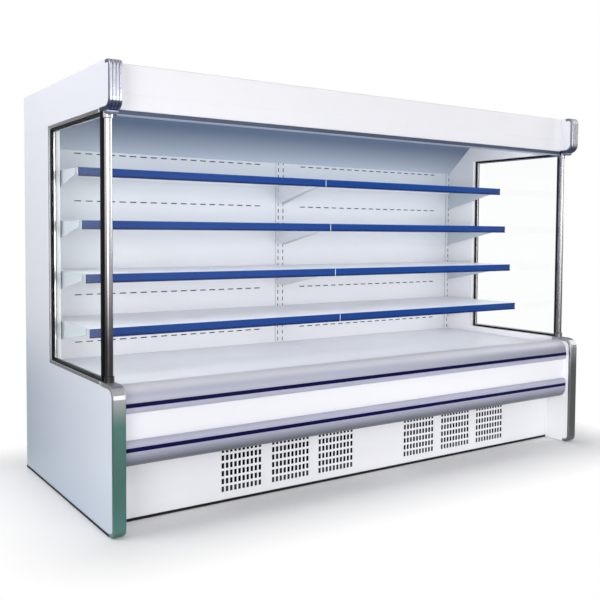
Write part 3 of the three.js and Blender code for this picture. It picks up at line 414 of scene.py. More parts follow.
# Pre-painted steel: a smooth roller coat whose peel is 3 mm wide.
liner_paint, tree, shader, place = start("pre-painted steel, pale liner")
height = add(tree, "SeparateXYZ", {0: place}).outputs["Z"]
# Painted shade: the liner is dark slate at its top and pale at its foot.
fall = add(tree, "MapRange", {"Value": height, 1: LINER_TOP, 2: LINER_FOOT})
fall = add(tree, "Math", {0: fall.outputs[0], 1: LINER_FALL}, operation="POWER")
tone = add(tree, "Mix", {0: fall.outputs[0], 6: linear("#65758d"), 7: linear("#d0dae7")}, data_type="RGBA")
feed(shader, {"Base Color": tone.outputs[2], "Normal": orange_peel(tree, place, PAINT_PEEL, PAINT_RELIEF)})
feed(shader, {"Roughness": 0.36})
dress(liner_paint, "canopy_duct_liner")

# Opal polycarbonate: milky, with a faint glow of its own.
opal = mottled(
    "opal polycarbonate",
    size=0.025,
    detail=2,
    tones=("#eef1f8", "#fbfcff"),
    look={"Roughness": 0.4, "Emission Color": linear("#f4f7ff"), "Emission Strength": 0.25},
)
dress(opal, "canopy_lamp")


# Air outlet. A strip of hexagonal plastic cells, glued into a folded casing that hangs from the roof behind
# the front sheet; the cold air falls through it. One cell is made and set out along the strip.
CELL = 0.014
CELL_WALL = 0.0006
CELL_HEIGHT = 0.018
CELL_ROW = CELL * math.sqrt(3) / 2
CELLS_LENGTH = 2.44
OUTLET_FRONT = -0.407
OUTLET_REAR = -0.347
OUTLET_BOTTOM = 1.563
CASING_TOP = 1.689
CASING_LENGTH = 2.499
CASING_SHEET = 0.0012
RAIL_SIZE = (2.496, 0.0018, 0.019)
RAIL_INSET = 0.0022
RAIL_LIFT = 0.010
CELLS_START = 0.008
CELLS_MARGIN = 0.006
CELLS_LIFT = 0.001
CASING_GAP = 0.0006
DUST = 0.0333


def finished(name, body, finish):
    """Name the active piece, put its place into its mesh, and give it a finish and, if it is stiff, a body."""
    piece = bpy.context.object
    bpy.ops.object.transform_apply(location=True, rotation=True, scale=True)
    piece.name = name
    piece.data.name = name
    piece.data.materials.clear()
    piece.data.materials.append(finish)
    if body:
        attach(piece, body)
    piece.select_set(False)
    return piece


def apply_modifiers(piece):
    """Apply the active piece's modifiers in their order."""
    for modifier in list(piece.modifiers):
        bpy.ops.object.modifier_apply(modifier=modifier.name)


def repeat(piece, count, step):
    """Set a piece out by a step, as a modifier."""
    row = piece.modifiers.new("row", "ARRAY")
    row.count = count
    row.use_relative_offset = False
    row.use_constant_offset = True
    row.constant_offset_displace = step
    return row


def thicken(piece, thickness, offset):
    """Give a folded sheet its thickness, as a modifier: behind it (-1), about it (0) or before it (1)."""
    wall = piece.modifiers.new("wall", "SOLIDIFY")
    wall.thickness = thickness
    wall.offset = offset


def block(place, size, bevel=0, segments=1):
    """Block of a size about its place, with broken edges where a bevel is given."""
    bpy.ops.object.select_all(action="DESELECT")
    bpy.ops.mesh.primitive_cube_add(size=1, location=place, scale=size)
    bpy.ops.object.transform_apply(location=True, rotation=False, scale=True)
    if bevel:
        bpy.ops.object.mode_set(mode="EDIT")
        bpy.ops.mesh.bevel(offset=bevel, segments=segments, affect="EDGES")
        bpy.ops.object.mode_set(mode="OBJECT")
    return bpy.context.object


def pick(piece, kind, test):
    """Open a piece for editing with only those of its polygons or edges selected that pass a test."""
    bpy.ops.object.mode_set(mode="EDIT")
    bpy.ops.mesh.select_all(action="DESELECT")
    bpy.ops.object.mode_set(mode="OBJECT")
    for part in getattr(piece.data, kind):
        part.select = test(part)
    bpy.ops.object.mode_set(mode="EDIT")


def face_outwards():
    """Turn the faces of the piece that is open outwards, and close it."""
    bpy.ops.mesh.select_all(action="SELECT")
    bpy.ops.mesh.normals_make_consistent(inside=False)
    bpy.ops.object.mode_set(mode="OBJECT")


# Moulded polystyrene: matt and faintly clouded by dust, pale on small caps, and in the outlet slate grey as
# painted shade.
pale_plastic = mottled(
    "pale moulded polystyrene",
    size=DUST,
    detail=3,
    tones=("#b4bccb", "#c9cfdb"),
    look={"Roughness": 0.5, "IOR": 1.55},
)
# Painted shade: the outlet's cells are slate grey.
slate_plastic = mottled(
    "slate-grey moulded polystyrene",
    size=DUST,
    detail=3,
    tones=("#4f5c72", "#66748b"),
    look={"Roughness": 0.5},
)

columns = int(CELLS_LENGTH / CELL)
rows = int((OUTLET_REAR - OUTLET_FRONT - CELLS_MARGIN) / CELL_ROW)
bpy.ops.object.select_all(action="DESELECT")
bpy.ops.mesh.primitive_circle_add(
    vertices=6,
    radius=CELL / math.sqrt(3),
    fill_type="NGON",
    location=(-columns * CELL / 2, OUTLET_FRONT + CELLS_START, OUTLET_BOTTOM + CELLS_LIFT),
)
cells = bpy.context.object
bpy.ops.object.mode_set(mode="EDIT")
bpy.ops.mesh.inset(thickness=CELL_WALL)
bpy.ops.mesh.delete(type="FACE")
bpy.ops.mesh.select_all(action="SELECT")
bpy.ops.mesh.extrude_region_move(TRANSFORM_OT_translate={"value": (0, 0, CELL_HEIGHT)})
face_outwards()
repeat(cells, 2, (CELL / 2, CELL_ROW, 0))
repeat(cells, rows // 2, (0, 2 * CELL_ROW, 0))
repeat(cells, columns, (CELL, 0, 0))
apply_modifiers(cells)

casing = block(
    (0, (OUTLET_FRONT + OUTLET_REAR) / 2, (OUTLET_BOTTOM + CASING_TOP) / 2),
    (CASING_LENGTH, OUTLET_REAR - OUTLET_FRONT - CASING_GAP, CASING_TOP - OUTLET_BOTTOM),
)
pick(casing, "polygons", lambda face: abs(face.normal.z) > 0.9 or face.normal.y > 0.9)
bpy.ops.mesh.delete(type="FACE")
bpy.ops.object.mode_set(mode="OBJECT")
thicken(casing, CASING_SHEET, -1)
apply_modifiers(casing)
for y in (OUTLET_FRONT + RAIL_INSET, OUTLET_REAR - RAIL_INSET):
    block((0, y, OUTLET_BOTTOM + RAIL_LIFT), RAIL_SIZE, bevel=0.0004)
    casing.select_set(True)
    bpy.context.view_layer.objects.active = casing
    bpy.ops.object.join()
cells.select_set(True)
casing.select_set(True)
bpy.context.view_layer.objects.active = cells
bpy.ops.object.join()
outlet = finished("air_outlet_cells", "cabinet", slate_plastic)
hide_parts("air_outlet_honeycomb")


# Night blind. The pull bar is extruded aluminium with a painted highlight along its lower edge; it is clipped
# to the hem of a woven polyester fabric, which comes off the sprung roller behind the front sheet.
LIP_TO = 1.5445
BAR_FROM = 1.5475
CLOTH_COLUMNS = 62
CLOTH_ROWS = 40
WAVE = math.pi / 10
WEAVE = 0.00827

# Dark anodised: slate blue and satin, with die lines about 1 mm apart along the bar.
bar_metal, tree, shader, place = start("dark anodised aluminium")
height = add(tree, "SeparateXYZ", {0: place}).outputs["Z"]
lines = drawn(tree, place, (4, 900, 900))
body = add(tree, "Mix", {0: lines, 6: linear("#3a465e"), 7: linear("#4c5973")}, data_type="RGBA")
# Painted highlight: the lower lip is pale.
lip = add(tree, "MapRange", {"Value": height, 1: LIP_TO, 2: BAR_FROM}, **SMOOTH)
tone = add(tree, "Mix", {0: lip.outputs[0], 6: linear("#a4afc2"), 7: body.outputs[2]}, data_type="RGBA")
feed(shader, {"Base Color": tone.outputs[2], "Metallic": 0.3, "Roughness": 0.42})
dress(bar_metal, "night_blind_pull_bar")

# Woven polyester: plain weave of 0.6 mm threads, drawn at 4 mm so that it shows, grey-blue and matt. A wave
# pattern repeats every tenth of pi at a scale of 1, and a repeat is two threads.
blind_weave, tree, shader, place = start("woven polyester, blue-grey")
sheet_place = add(tree, "UVMap", uv_map="cloth").outputs[0]
warp, weft = (
    add(tree, "TexWave", {"Vector": sheet_place, "Scale": WAVE / WEAVE}, bands_direction=way) for way in "XY"
)
weave = add(tree, "Math", {0: warp.outputs["Fac"], 1: weft.outputs["Fac"]}, operation="MULTIPLY")
tone = add(tree, "Mix", {0: weave.outputs[0], 6: linear("#8b94a6"), 7: linear("#b3bac8")}, data_type="RGBA")
bump = add(tree, "Bump", {"Height": weave.outputs[0], "Strength": 0.4, "Distance": 0.0006})
feed(shader, {"Base Color": tone.outputs[2], "Normal": bump.outputs[0], "Roughness": 0.9, "Sheen Weight": 0.2})

cloth_low, cloth_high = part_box("night_blind_fabric")
bpy.ops.object.select_all(action="DESELECT")
bpy.ops.mesh.primitive_grid_add(
    x_subdivisions=CLOTH_COLUMNS,
    y_subdivisions=CLOTH_ROWS,
    size=1,
    location=((cloth_low + cloth_high) / 2),
    rotation=(math.radians(90), 0, 0),
)
cloth = bpy.context.object
cloth.scale = (cloth_high.x - cloth_low.x, cloth_high.z - cloth_low.z, 1)
bpy.ops.object.transform_apply(location=True, rotation=True, scale=True)
weave_map = cloth.data.uv_layers[0]
weave_map.name = "cloth"
for corner in cloth.data.loops:
    point = cloth.data.vertices[corner.vertex_index].co
    weave_map.data[corner.index].uv = (point.x, point.z)
cloth = finished("night_blind_cloth", None, blind_weave)
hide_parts("night_blind_fabric")
middle = (cloth_low.y + cloth_high.y) / 2
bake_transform(cloth)


# Corner posts. Round stainless tubes carry the canopy's front corners. The left one is painted darker in its
# lower half, the right one all the way up, as painted shade and reflection. Each has a shaded pair of tones
# and a lit one.
POST_SHADE_TO = 0.70
POST_LIT_FROM = 1.25
POST_BRUSH = (60, 60, 1 / 0.0012)
POST_TONES = {
    "left": (("#454345", "#504e50"), ("#c4c2c5", "#cfcdd0")),
    "right": (("#767376", "#817e81"), ("#a5a3a6", "#b1afb2")),
}

# Brushed stainless: fine rings round the tube, 1.2 mm apart so that they show, which spread its reflections.
for hand, (shaded_tones, lit_tones) in POST_TONES.items():
    post_steel, tree, shader, place = start(f"stainless steel tube, brushed, {hand}")
    hairs = drawn(tree, place, POST_BRUSH)
    height = add(tree, "SeparateXYZ", {0: place}).outputs["Z"]
    # Painted shade and reflection: the tube is darker towards its foot and lighter towards its head.
    rise = add(tree, "MapRange", {"Value": height, 1: POST_SHADE_TO, 2: POST_LIT_FROM})
    painted_shade, lit_colour = (
        add(tree, "Mix", {0: hairs, 6: linear(dark), 7: linear(pale)}, data_type="RGBA").outputs[2]
        for dark, pale in (shaded_tones, lit_tones)
    )
    tone = add(tree, "Mix", {0: rise.outputs[0], 6: painted_shade, 7: lit_colour}, data_type="RGBA")
    gloss = add(tree, "MapRange", {"Value": hairs, 3: 0.24, 4: 0.28})
    feed(shader, {"Base Color": tone.outputs[2], "Roughness": gloss.outputs[0], "Metallic": 1})
    dress(post_steel, f"corner_post_{hand}")


# Windows. In each end wall a double pane sits in a black rubber frame, and stainless edge strips are folded
# over the wall's edge along the sill, the rear and the head.
SILL = 0.559
HEAD = 1.553
WINDOW_FRONT = -0.430
WINDOW_REAR = 0.176
EDGE_STRIP = 0.012
EDGE_SHEET = 0.001
EDGE_BEVEL = 0.0003
GLASS_WIPE = 0.1667
SIDES = ((-1, "left"), (1, "right"))

# Bright stainless strip: lighter than the posts, without their painted shade, with a tone that barely wavers.
edge_steel, tree, shader, place = start("stainless steel strip, bright")
hairs = drawn(tree, place, (400, 12, 12))
tone = add(tree, "Mix", {0: hairs, 6: linear("#b7b8bd"), 7: linear("#cfd0d5")}, data_type="RGBA")
feed(shader, {"Base Color": tone.outputs[2], "Metallic": 1, "Roughness": 0.22})

# Extruded rubber: near black and dull, with a grain of 1.2 mm.
rubber = mottled(
    "black extruded rubber",
    size=0.0012,
    detail=2,
    tones=("#0a0b0d", "#17181c"),
    look={"Roughness": 0.6, "Specular IOR Level": 0.25},
    relief=(0.2, 0.0003),
)
dress(rubber, "window_gasket_left", "window_gasket_right")

# Float glass: clear and coated against reflection, with a faint green from its iron and a trace of wiping in
# the gloss. Its index is kept near that of air, so that the double pane doesn't shift what stands behind it.
pane, tree, shader, place = start("clear float glass")
wipe = add(tree, "TexNoise", {"Vector": place, "Scale": 1 / GLASS_WIPE, "Detail": 3})
gloss = add(tree, "MapRange", {"Value": wipe.outputs["Fac"], 3: 0, 4: 0.03})
feed(shader, {"Base Color": linear("#fdfffe"), "Roughness": gloss.outputs[0], "Transmission Weight": 1})
feed(shader, {"IOR": 1.04, "Coat Weight": 0.35, "Coat IOR": 1.52})
dress(pane, "window_glass_left", "window_glass_right")


def panel(place, width, height, turn):
    """Flat sheet of a width and height about its place, turned out of the floor's plane."""
    bpy.ops.object.select_all(action="DESELECT")
    bpy.ops.mesh.primitive_plane_add(size=1, location=place, rotation=turn)
    sheet = bpy.context.object
    sheet.scale = (width, height, 1)
    bpy.ops.object.transform_apply(location=True, rotation=True, scale=True)
    return sheet


def window_strip(side, x, grow, front, width):
    """Flat strip along a window's sill, rear and head, past the opening by grow or, below 0, inside it."""
    rear = WINDOW_REAR + grow
    centre = (side * x, (front + rear) / 2, (SILL + HEAD) / 2)
    strip = panel(centre, HEAD - SILL + 2 * grow, rear - front, (0, side * math.radians(90), 0))
    bpy.ops.object.mode_set(mode="EDIT")
    bpy.ops.mesh.select_all(action="SELECT")
    bpy.ops.mesh.inset(thickness=width)
    bpy.ops.mesh.delete(type="FACE")
    pick(strip, "polygons", lambda face: face.center.y < front + width)
    bpy.ops.mesh.delete(type="FACE")
    bpy.ops.object.mode_set(mode="OBJECT")
    return strip


for side, hand in SIDES:
    strip = window_strip(side, WALL_FACE, EDGE_STRIP, WINDOW_FRONT, EDGE_STRIP)
    thicken(strip, EDGE_SHEET, 1)
    rounded = strip.modifiers.new("rounded", "BEVEL")
    rounded.width = EDGE_BEVEL
    rounded.segments = 2
    apply_modifiers(strip)
    finished(f"window_edge_strip_{hand}", "cabinet", edge_steel)


# Spacer bars. Bright aluminium section between the two panes, just inside the rubber frame; it shows through
# the glass as a pale line along the sill, the head and the rear of each window.
SPACER = 0.006
SPACER_INSET = 0.0092
SPACER_MIDDLE = 1.279
PANE_GAP = 0.008
for side, hand in SIDES:
    spacer = window_strip(side, SPACER_MIDDLE, -SPACER_INSET, WINDOW_FRONT + SPACER_INSET, SPACER)
    thicken(spacer, PANE_GAP, 0)
    apply_modifiers(spacer)
    finished(f"spacer_bar_{hand}", "cabinet", edge_steel)


# Corner castings. A tumbled aluminium casting fills the corner between each post's head and the moulding
# above it; its lower edge is drawn round, and it is held by the post's screw.
CASTING_SIZE = (0.046, 0.026, 0.0116)
CASTING_OUT = 1.275
CASTING_DEPTH = -0.486
CASTING_HEIGHT = 1.5468
CASTING_ROUND = 0.0085
SMOOTH_ANGLE = math.radians(40)


def ends(piece, line):
    """The two ends of an edge."""
    return [piece.data.vertices[i].co for i in line.vertices]


# Tumbled aluminium: soft grey, pitted every 4 mm.
cast_metal = mottled(
    "cast aluminium, tumbled",
    size=0.004,
    detail=3,
    tones=("#727c94", "#a3abc0"),
    look={"Metallic": 0.8, "Roughness": 0.36},
    relief=(0.2, 0.0004),
)
for side, hand in SIDES:
    casting = block((side * CASTING_OUT, CASTING_DEPTH, CASTING_HEIGHT), CASTING_SIZE)
    pick(casting, "edges", lambda line: all(end.z < CASTING_HEIGHT for end in ends(casting, line)))
    bpy.ops.mesh.bevel(offset=CASTING_ROUND, segments=5, affect="EDGES")
    face_outwards()
    bpy.ops.object.shade_smooth_by_angle(angle=SMOOTH_ANGLE)
    finished(f"corner_casting_{hand}", "cabinet", cast_metal)


# Inner back. Pre-painted steel panels with punched air slots, between folded uprights with hook slots. The
# paint is darker and bluer towards the top, as painted shade under the canopy, and the uprights are painted
# dark behind their face, inside them and on the punched edges, as shade.
UPRIGHT_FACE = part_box("shelf_upright_center")[0].y
BACK_FOOT = 0.55
BACK_HEAD = 1.48
for name, recess_shaded in (("pre-painted steel, inner back", False), ("pre-painted steel, uprights", True)):
    back_paint, tree, shader, place = start(name)
    parts = add(tree, "SeparateXYZ", {0: place})
    # Painted shade: darker and bluer towards the top, under the canopy.
    rise = add(tree, "MapRange", {"Value": parts.outputs["Z"], 1: BACK_FOOT, 2: BACK_HEAD}, **SMOOTH)
    tone = add(tree, "Mix", {0: rise.outputs[0], 6: linear("#f3f3f6"), 7: linear("#e2e8ee")}, data_type="RGBA")
    # Painted shade: the uprights are dark behind their face, inside them and on the punched edges.
    if recess_shaded:
        limits = {1: UPRIGHT_FACE + RECESS_SHADE_FROM, 2: UPRIGHT_FACE + RECESS_SHADE_TO}
        bare = add(tree, "MapRange", {"Value": parts.outputs["Y"], **limits}).outputs[0]
        tone = add(tree, "Mix", {0: bare, 6: tone.outputs[2], 7: linear("#3a3d43")}, data_type="RGBA")
    else:
        dress(back_paint, "inner_back_panel_left", "inner_back_panel_right")
    feed(shader, {"Base Color": tone.outputs[2], "Normal": orange_peel(tree, place, PAINT_PEEL, PAINT_RELIEF)})
    feed(shader, {"Roughness": 0.36})

# The uprights are channels with a hook slot every 36.4 mm, six to a tier. One pitch of the face is made and
# set out over the height, the ends are trimmed, and both sides are folded back.
HOOK_PITCH = 0.0364
HOOK_SLOT_WIDTH = 0.005
HOOK_SLOT_HEIGHT = 0.020
HOOK_SLOT_BASE = 1.3697
HOOK_COLUMNS = {"left": (-1.2415,), "right": (1.2415,), "center": (-0.015, 0.015)}
UPRIGHT_SHEET = 0.002
TOUCHING = 0.00001
STANDING = (math.radians(90), 0, 0)


def on_side(piece, line, x):
    """Whether an edge lies in the plane at x."""
    return all(abs(end.x - x) < 0.0001 for end in ends(piece, line))


for hand, columns in HOOK_COLUMNS.items():
    low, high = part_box(f"shelf_upright_{hand}")
    first = HOOK_SLOT_BASE - HOOK_PITCH * math.ceil((HOOK_SLOT_BASE - low.z) / HOOK_PITCH)
    middle = ((low.x + high.x) / 2, low.y, first + HOOK_PITCH / 2)
    upright = panel(middle, high.x - low.x, HOOK_PITCH, STANDING)
    cuts = [((x + side * HOOK_SLOT_WIDTH / 2, 0, 0), (1, 0, 0)) for x in columns for side in (-1, 1)]
    cuts.append(((0, 0, first + HOOK_SLOT_HEIGHT), (0, 0, 1)))
    bpy.ops.object.mode_set(mode="EDIT")
    for point, facing in cuts:
        bpy.ops.mesh.select_all(action="SELECT")
        bpy.ops.mesh.bisect(plane_co=point, plane_no=facing)
    bpy.ops.mesh.select_mode(type="FACE")
    pick(
        upright,
        "polygons",
        lambda face: face.center.z < first + HOOK_SLOT_HEIGHT
        and any(abs(face.center.x - x) < HOOK_SLOT_WIDTH / 2 for x in columns),
    )
    bpy.ops.mesh.delete(type="FACE")
    bpy.ops.mesh.select_mode(type="VERT")
    bpy.ops.object.mode_set(mode="OBJECT")
    stacked = repeat(upright, math.ceil((high.z - first) / HOOK_PITCH), (0, 0, HOOK_PITCH))
    stacked.use_merge_vertices = True
    stacked.merge_threshold = TOUCHING
    apply_modifiers(upright)
    bpy.ops.object.mode_set(mode="EDIT")
    for height, up in ((low.z, -1), (high.z, 1)):
        bpy.ops.mesh.select_all(action="SELECT")
        bpy.ops.mesh.bisect(plane_co=(0, 0, height), plane_no=(0, 0, up), clear_outer=True)
    pick(upright, "edges", lambda line: on_side(upright, line, low.x) or on_side(upright, line, high.x))
    bpy.ops.mesh.extrude_region_move(TRANSFORM_OT_translate={"value": (0, high.y - low.y, 0)})
    bpy.ops.object.mode_set(mode="OBJECT")
    thicken(upright, UPRIGHT_SHEET, -1)
    apply_modifiers(upright)
    upright = finished(f"hook_upright_{hand}", "cabinet", back_paint)
    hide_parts(f"shelf_upright_{hand}")


# Duct lining. Black foil glued over the insulation of the back wall, inside the air duct; it is what shows
# through the air slots and between the hook slots. It is creased every 45 mm or so, and its black stands in
# for the shade in the duct, as painted shade.
LINING_WIDTH = 2.49
LINING_HEIGHT = 0.98
LINING_MIDDLE = 1.02
LINING_GAP = 0.0012
LINING_SHEET = 0.0008
# Painted shade: the lining is near black, as the duct behind the slots is in shade.
foil = mottled(
    "black foil lining, painted duct shade",
    size=0.0455,
    detail=3,
    tones=("#07080a", "#121418"),
    look={"Roughness": 0.8, "Specular IOR Level": 0.1},
)
duct_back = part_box("insulated_back_wall")[0].y
lining = panel((0, duct_back - LINING_GAP, LINING_MIDDLE), LINING_WIDTH, LINING_HEIGHT, STANDING)
thicken(lining, LINING_SHEET, 0)
apply_modifiers(lining)
finished("duct_shade_lining", "cabinet", foil)


# Shelves. White-coated steel trays on hooked brackets, four tiers in each bay. The coat is that of the walls,
# scuffed by goods in patches of 110 mm, and the outer brackets are painted greyer, as shade.
OUTER_BRACKET = 1.2372
BRACKET_EDGE = 0.0006
SHELF_SCUFF = 0.1111
TIERS = range(1, 5)
BAYS = [(tier, hand) for tier in TIERS for hand in HANDS]
shelf_coat, tree, shader, place = start("white powder-coated steel, shelves")
scuff = add(tree, "TexNoise", {"Vector": place, "Scale": 1 / SHELF_SCUFF, "Detail": 4}).outputs["Fac"]
tray = add(tree, "Mix", {0: scuff, 6: linear("#e6e9f1"), 7: linear("#f1f3f8")}, data_type="RGBA")
outward = add(tree, "Math", {0: add(tree, "SeparateXYZ", {0: place}).outputs["X"]}, operation="ABSOLUTE")
# Painted shade: the outer brackets are greyer than the trays.
limits = {1: OUTER_BRACKET, 2: OUTER_BRACKET + BRACKET_EDGE}
bracket = add(tree, "MapRange", {"Value": outward.outputs[0], **limits})
tone = add(tree, "Mix", {0: bracket.outputs[0], 6: tray.outputs[2], 7: linear("#c3cbd3")}, data_type="RGBA")
feed(shader, {"Base Color": tone.outputs[2], "Normal": orange_peel(tree, place, PEEL, PEEL_RELIEF)})
feed(shader, {"Roughness": 0.34})
dress(shelf_coat, *[f"shelf_{tier}_{hand}" for tier, hand in BAYS])


# Price strips. Royal blue plastic profiles, clipped along the front edge of each shelf. They stand 218.4 mm
# apart, so the height over the nearest strip's lower edge is the remainder of that pitch.
TOP_TIER = 1.380
TIER_PITCH = 0.2184
STRIP_HEIGHT = 0.0366
LOWEST_EDGE = TOP_TIER - 3 * TIER_PITCH - STRIP_HEIGHT
LIP_DARK = 0.003
LIP_CLEAR = 0.012

# Extruded PVC: glossy royal blue, a shade darker along the lower lip.
strip_blue, tree, shader, place = start("royal blue extruded PVC")
height = add(tree, "SeparateXYZ", {0: place}).outputs["Z"]
over = add(tree, "Math", {0: height, 1: LOWEST_EDGE}, operation="SUBTRACT")
over = add(tree, "Math", {0: over.outputs[0], 1: TIER_PITCH}, operation="FLOORED_MODULO")
lip = add(tree, "MapRange", {"Value": over.outputs[0], 1: LIP_DARK, 2: LIP_CLEAR}, **SMOOTH)
flow = drawn(tree, place, (2, 200, 200))
body = add(tree, "Mix", {0: flow, 6: linear("#012c6c"), 7: linear("#03387c")}, data_type="RGBA")
tone = add(tree, "Mix", {0: lip.outputs[0], 6: linear("#06164a"), 7: body.outputs[2]}, data_type="RGBA")
feed(shader, {"Base Color": tone.outputs[2], "Roughness": 0.34, "Specular IOR Level": 0.16, "IOR": 1.52})
dress(strip_blue, *[f"price_strip_{tier}_{hand}" for tier, hand in BAYS])


# End caps of the price strips. Pale moulded plugs, pushed into both ends of each strip; at the middle of the
# front the two neighbours make the thin pale line between the bays. Each tier stands 42 mm further out.
CAP_SIZE = (0.0013, 0.0084, 0.037)
CAP_PLACES = {"inner": 0.0009, "outer": 1.2458}
TOP_FRONT = -0.045
TIER_STEP = 0.042
STRIP_MIDDLE = 0.004
for tier in TIERS:
    front = TOP_FRONT - TIER_STEP * (tier - 1)
    height = TOP_TIER - TIER_PITCH * (tier - 1) - STRIP_HEIGHT / 2
    for side, hand in SIDES:
        for end, x in CAP_PLACES.items():
            block((side * x, front + STRIP_MIDDLE, height), CAP_SIZE, bevel=0.0004, segments=2)
            finished(f"strip_cap_{end}_{tier}_{hand}", f"shelf_{tier}_{hand}", pale_plastic)


# Deck. Coated steel pans that lift out, and the slotted grille in front of them where the air goes back in.
# The coat is pale grey, and shinier where goods have slid over it, in patches of 140 mm.
DECK_SCUFF = 0.1429
deck_coat, tree, shader, place = start("pale powder-coated steel, deck")
scuff = add(tree, "TexNoise", {"Vector": place, "Scale": 1 / DECK_SCUFF, "Detail": 4}).outputs["Fac"]
tone = add(tree, "Mix", {0: scuff, 6: linear("#d8dae1"), 7: linear("#e4e6eb")}, data_type="RGBA")
gloss = add(tree, "MapRange", {"Value": scuff, 3: 0.28, 4: 0.42})
feed(shader, {"Base Color": tone.outputs[2], "Roughness": gloss.outputs[0]})
dress(deck_coat, "deck_pan_left", "deck_pan_right", "return_air_grille")


# Return slats. A row of thin steel slats on edge, spot-welded under the grille's openings, so that nothing
# drops into the duct. One slat is made and set out along the front.
SLAT_SIZE = (0.0014, 0.066, 0.0072)
SLAT_PITCH = 0.009
SLATS = 276
SLAT_DEPTH = -0.415
SLAT_HEIGHT = 0.5180
slats = block((-(SLATS - 1) * SLAT_PITCH / 2, SLAT_DEPTH, SLAT_HEIGHT), SLAT_SIZE, bevel=0.0003)
repeat(slats, SLATS, (SLAT_PITCH, 0, 0))
apply_modifiers(slats)
finished("return_grille_slats", "cabinet", deck_coat)


# Bumpers. Two hollow rails of satin grey PVC across the front. The lower one is painted darker towards its
# foot, as shade where it turns under. The upper one is painted darker over its bead, more so to the right, as
# shade, and pale along its crown, as a painted highlight.
RAIL_GRAIN = 0.0015
FOOT = {1: 0.245, 2: 0.318}
OVER_BEAD = {1: 0.470, 2: 0.487}
UNDER_CROWN = {1: 0.492, 2: 0.538}
CROWN = {1: 0.512, 2: 0.541}
UPPER_RAIL = {1: 0.455, 2: 0.475}
UPPER_FACE = {1: 0.508, 2: 0.530, 3: 1, 4: 0}
BEAD_SHADE_RUN = {1: -0.3, 2: 1.1}
RIGHT_SHADE_RUN = {1: 0.2, 2: 1.2, 4: 0.55}
bumper_grey, tree, shader, place = start("grey extruded PVC, satin")
parts = add(tree, "SeparateXYZ", {0: place})
height = parts.outputs["Z"]
flow = drawn(tree, place, (1.5, 120, 120))
body = add(tree, "Mix", {0: flow, 6: linear("#adafc3"), 7: linear("#b9bbce")}, data_type="RGBA")
# Painted shade: darker towards the lower rail's foot.
under = add(tree, "MapRange", {"Value": height, **FOOT}, **SMOOTH)
tone = add(tree, "Mix", {0: under.outputs[0], 6: linear("#545a62"), 7: body.outputs[2]}, data_type="RGBA")
# Painted shade over the upper rail's bead, deeper towards the right.
over = add(tree, "MapRange", {"Value": height, **UNDER_CROWN}, **SMOOTH)
near = add(tree, "MapRange", {"Value": height, **OVER_BEAD}, **SMOOTH)
near = add(tree, "Math", {0: near.outputs[0], 1: over.outputs[0]}, operation="SUBTRACT", use_clamp=True)
along = add(tree, "MapRange", {"Value": parts.outputs["X"], **BEAD_SHADE_RUN})
bead_shade = add(tree, "Mix", {0: along.outputs[0], 6: linear("#b1b5c4"), 7: linear("#9599a6")}, data_type="RGBA")
tone = add(tree, "Mix", {0: near.outputs[0], 6: tone.outputs[2], 7: bead_shade.outputs[2]}, data_type="RGBA")
# Painted highlight along the upper rail's crown.
crown = add(tree, "MapRange", {"Value": height, **CROWN}, **SMOOTH)
tone = add(tree, "Mix", {0: crown.outputs[0], 6: tone.outputs[2], 7: linear("#d3d4dc")}, data_type="RGBA")
# Painted shade on the upper rail's face, deeper towards the right.
upper = add(tree, "MapRange", {"Value": height, **UPPER_RAIL})
below = add(tree, "MapRange", {"Value": height, **UPPER_FACE})
painted_shade = add(tree, "MapRange", {"Value": parts.outputs["X"], **RIGHT_SHADE_RUN})
painted_shade = add(tree, "Math", {0: painted_shade.outputs[0], 1: upper.outputs[0]}, operation="MULTIPLY")
painted_shade = add(tree, "Math", {0: painted_shade.outputs[0], 1: below.outputs[0]}, operation="MULTIPLY")
tone = add(tree, "Mix", {0: painted_shade.outputs[0], 6: tone.outputs[2], 7: linear("#8a8b98")}, data_type="RGBA")
grain = add(tree, "TexNoise", {"Vector": place, "Scale": 1 / RAIL_GRAIN, "Detail": 2})
bump = add(tree, "Bump", {"Height": grain.outputs["Fac"], "Strength": 0.1, "Distance": 0.0002})
feed(shader, {"Base Color": tone.outputs[2], "Normal": bump.outputs[0], "Roughness": 0.36, "IOR": 1.52})
dress(bumper_grey, "bumper_upper", "bumper_lower")


# Beads. A navy bead of extruded PVC is pressed into the groove of each bumper, with its front edges rounded;
# it is drawn smooth and keeps a dark, even colour.
GROOVE_FRONT = -0.527
BEAD_SIZE = (2.4990, 0.0022, 0.0158)
BEAD_PROUD = 0.0002
BEAD_ROUND = 0.0019
BEAD_HEIGHTS = {"upper": 0.4775, "lower": 0.3122}
bead_navy, tree, shader, place = start("navy extruded PVC, glossy")
flow = drawn(tree, place, (2, 300, 300))
tone = add(tree, "Mix", {0: flow, 6: linear("#05053a"), 7: linear("#0a0a4b")}, data_type="RGBA")
feed(shader, {"Base Color": tone.outputs[2], "Roughness": 0.34, "Specular IOR Level": 0.1})


def along_front(piece, line):
    """Whether an edge runs along the cabinet, in front of the groove."""
    near, far = ends(piece, line)
    return max(near.y, far.y) < GROOVE_FRONT and abs(near.x - far.x) > 1


for level, height in BEAD_HEIGHTS.items():
    bead = block((0, GROOVE_FRONT + BEAD_PROUD, height), BEAD_SIZE)
    pick(bead, "edges", lambda line: along_front(bead, line))
    bpy.ops.mesh.bevel(offset=BEAD_ROUND, segments=5, affect="EDGES", profile=0.6)
    face_outwards()
    bpy.ops.object.shade_smooth_by_angle(angle=SMOOTH_ANGLE)
    finished(f"bumper_bead_{level}", "cabinet", bead_navy)


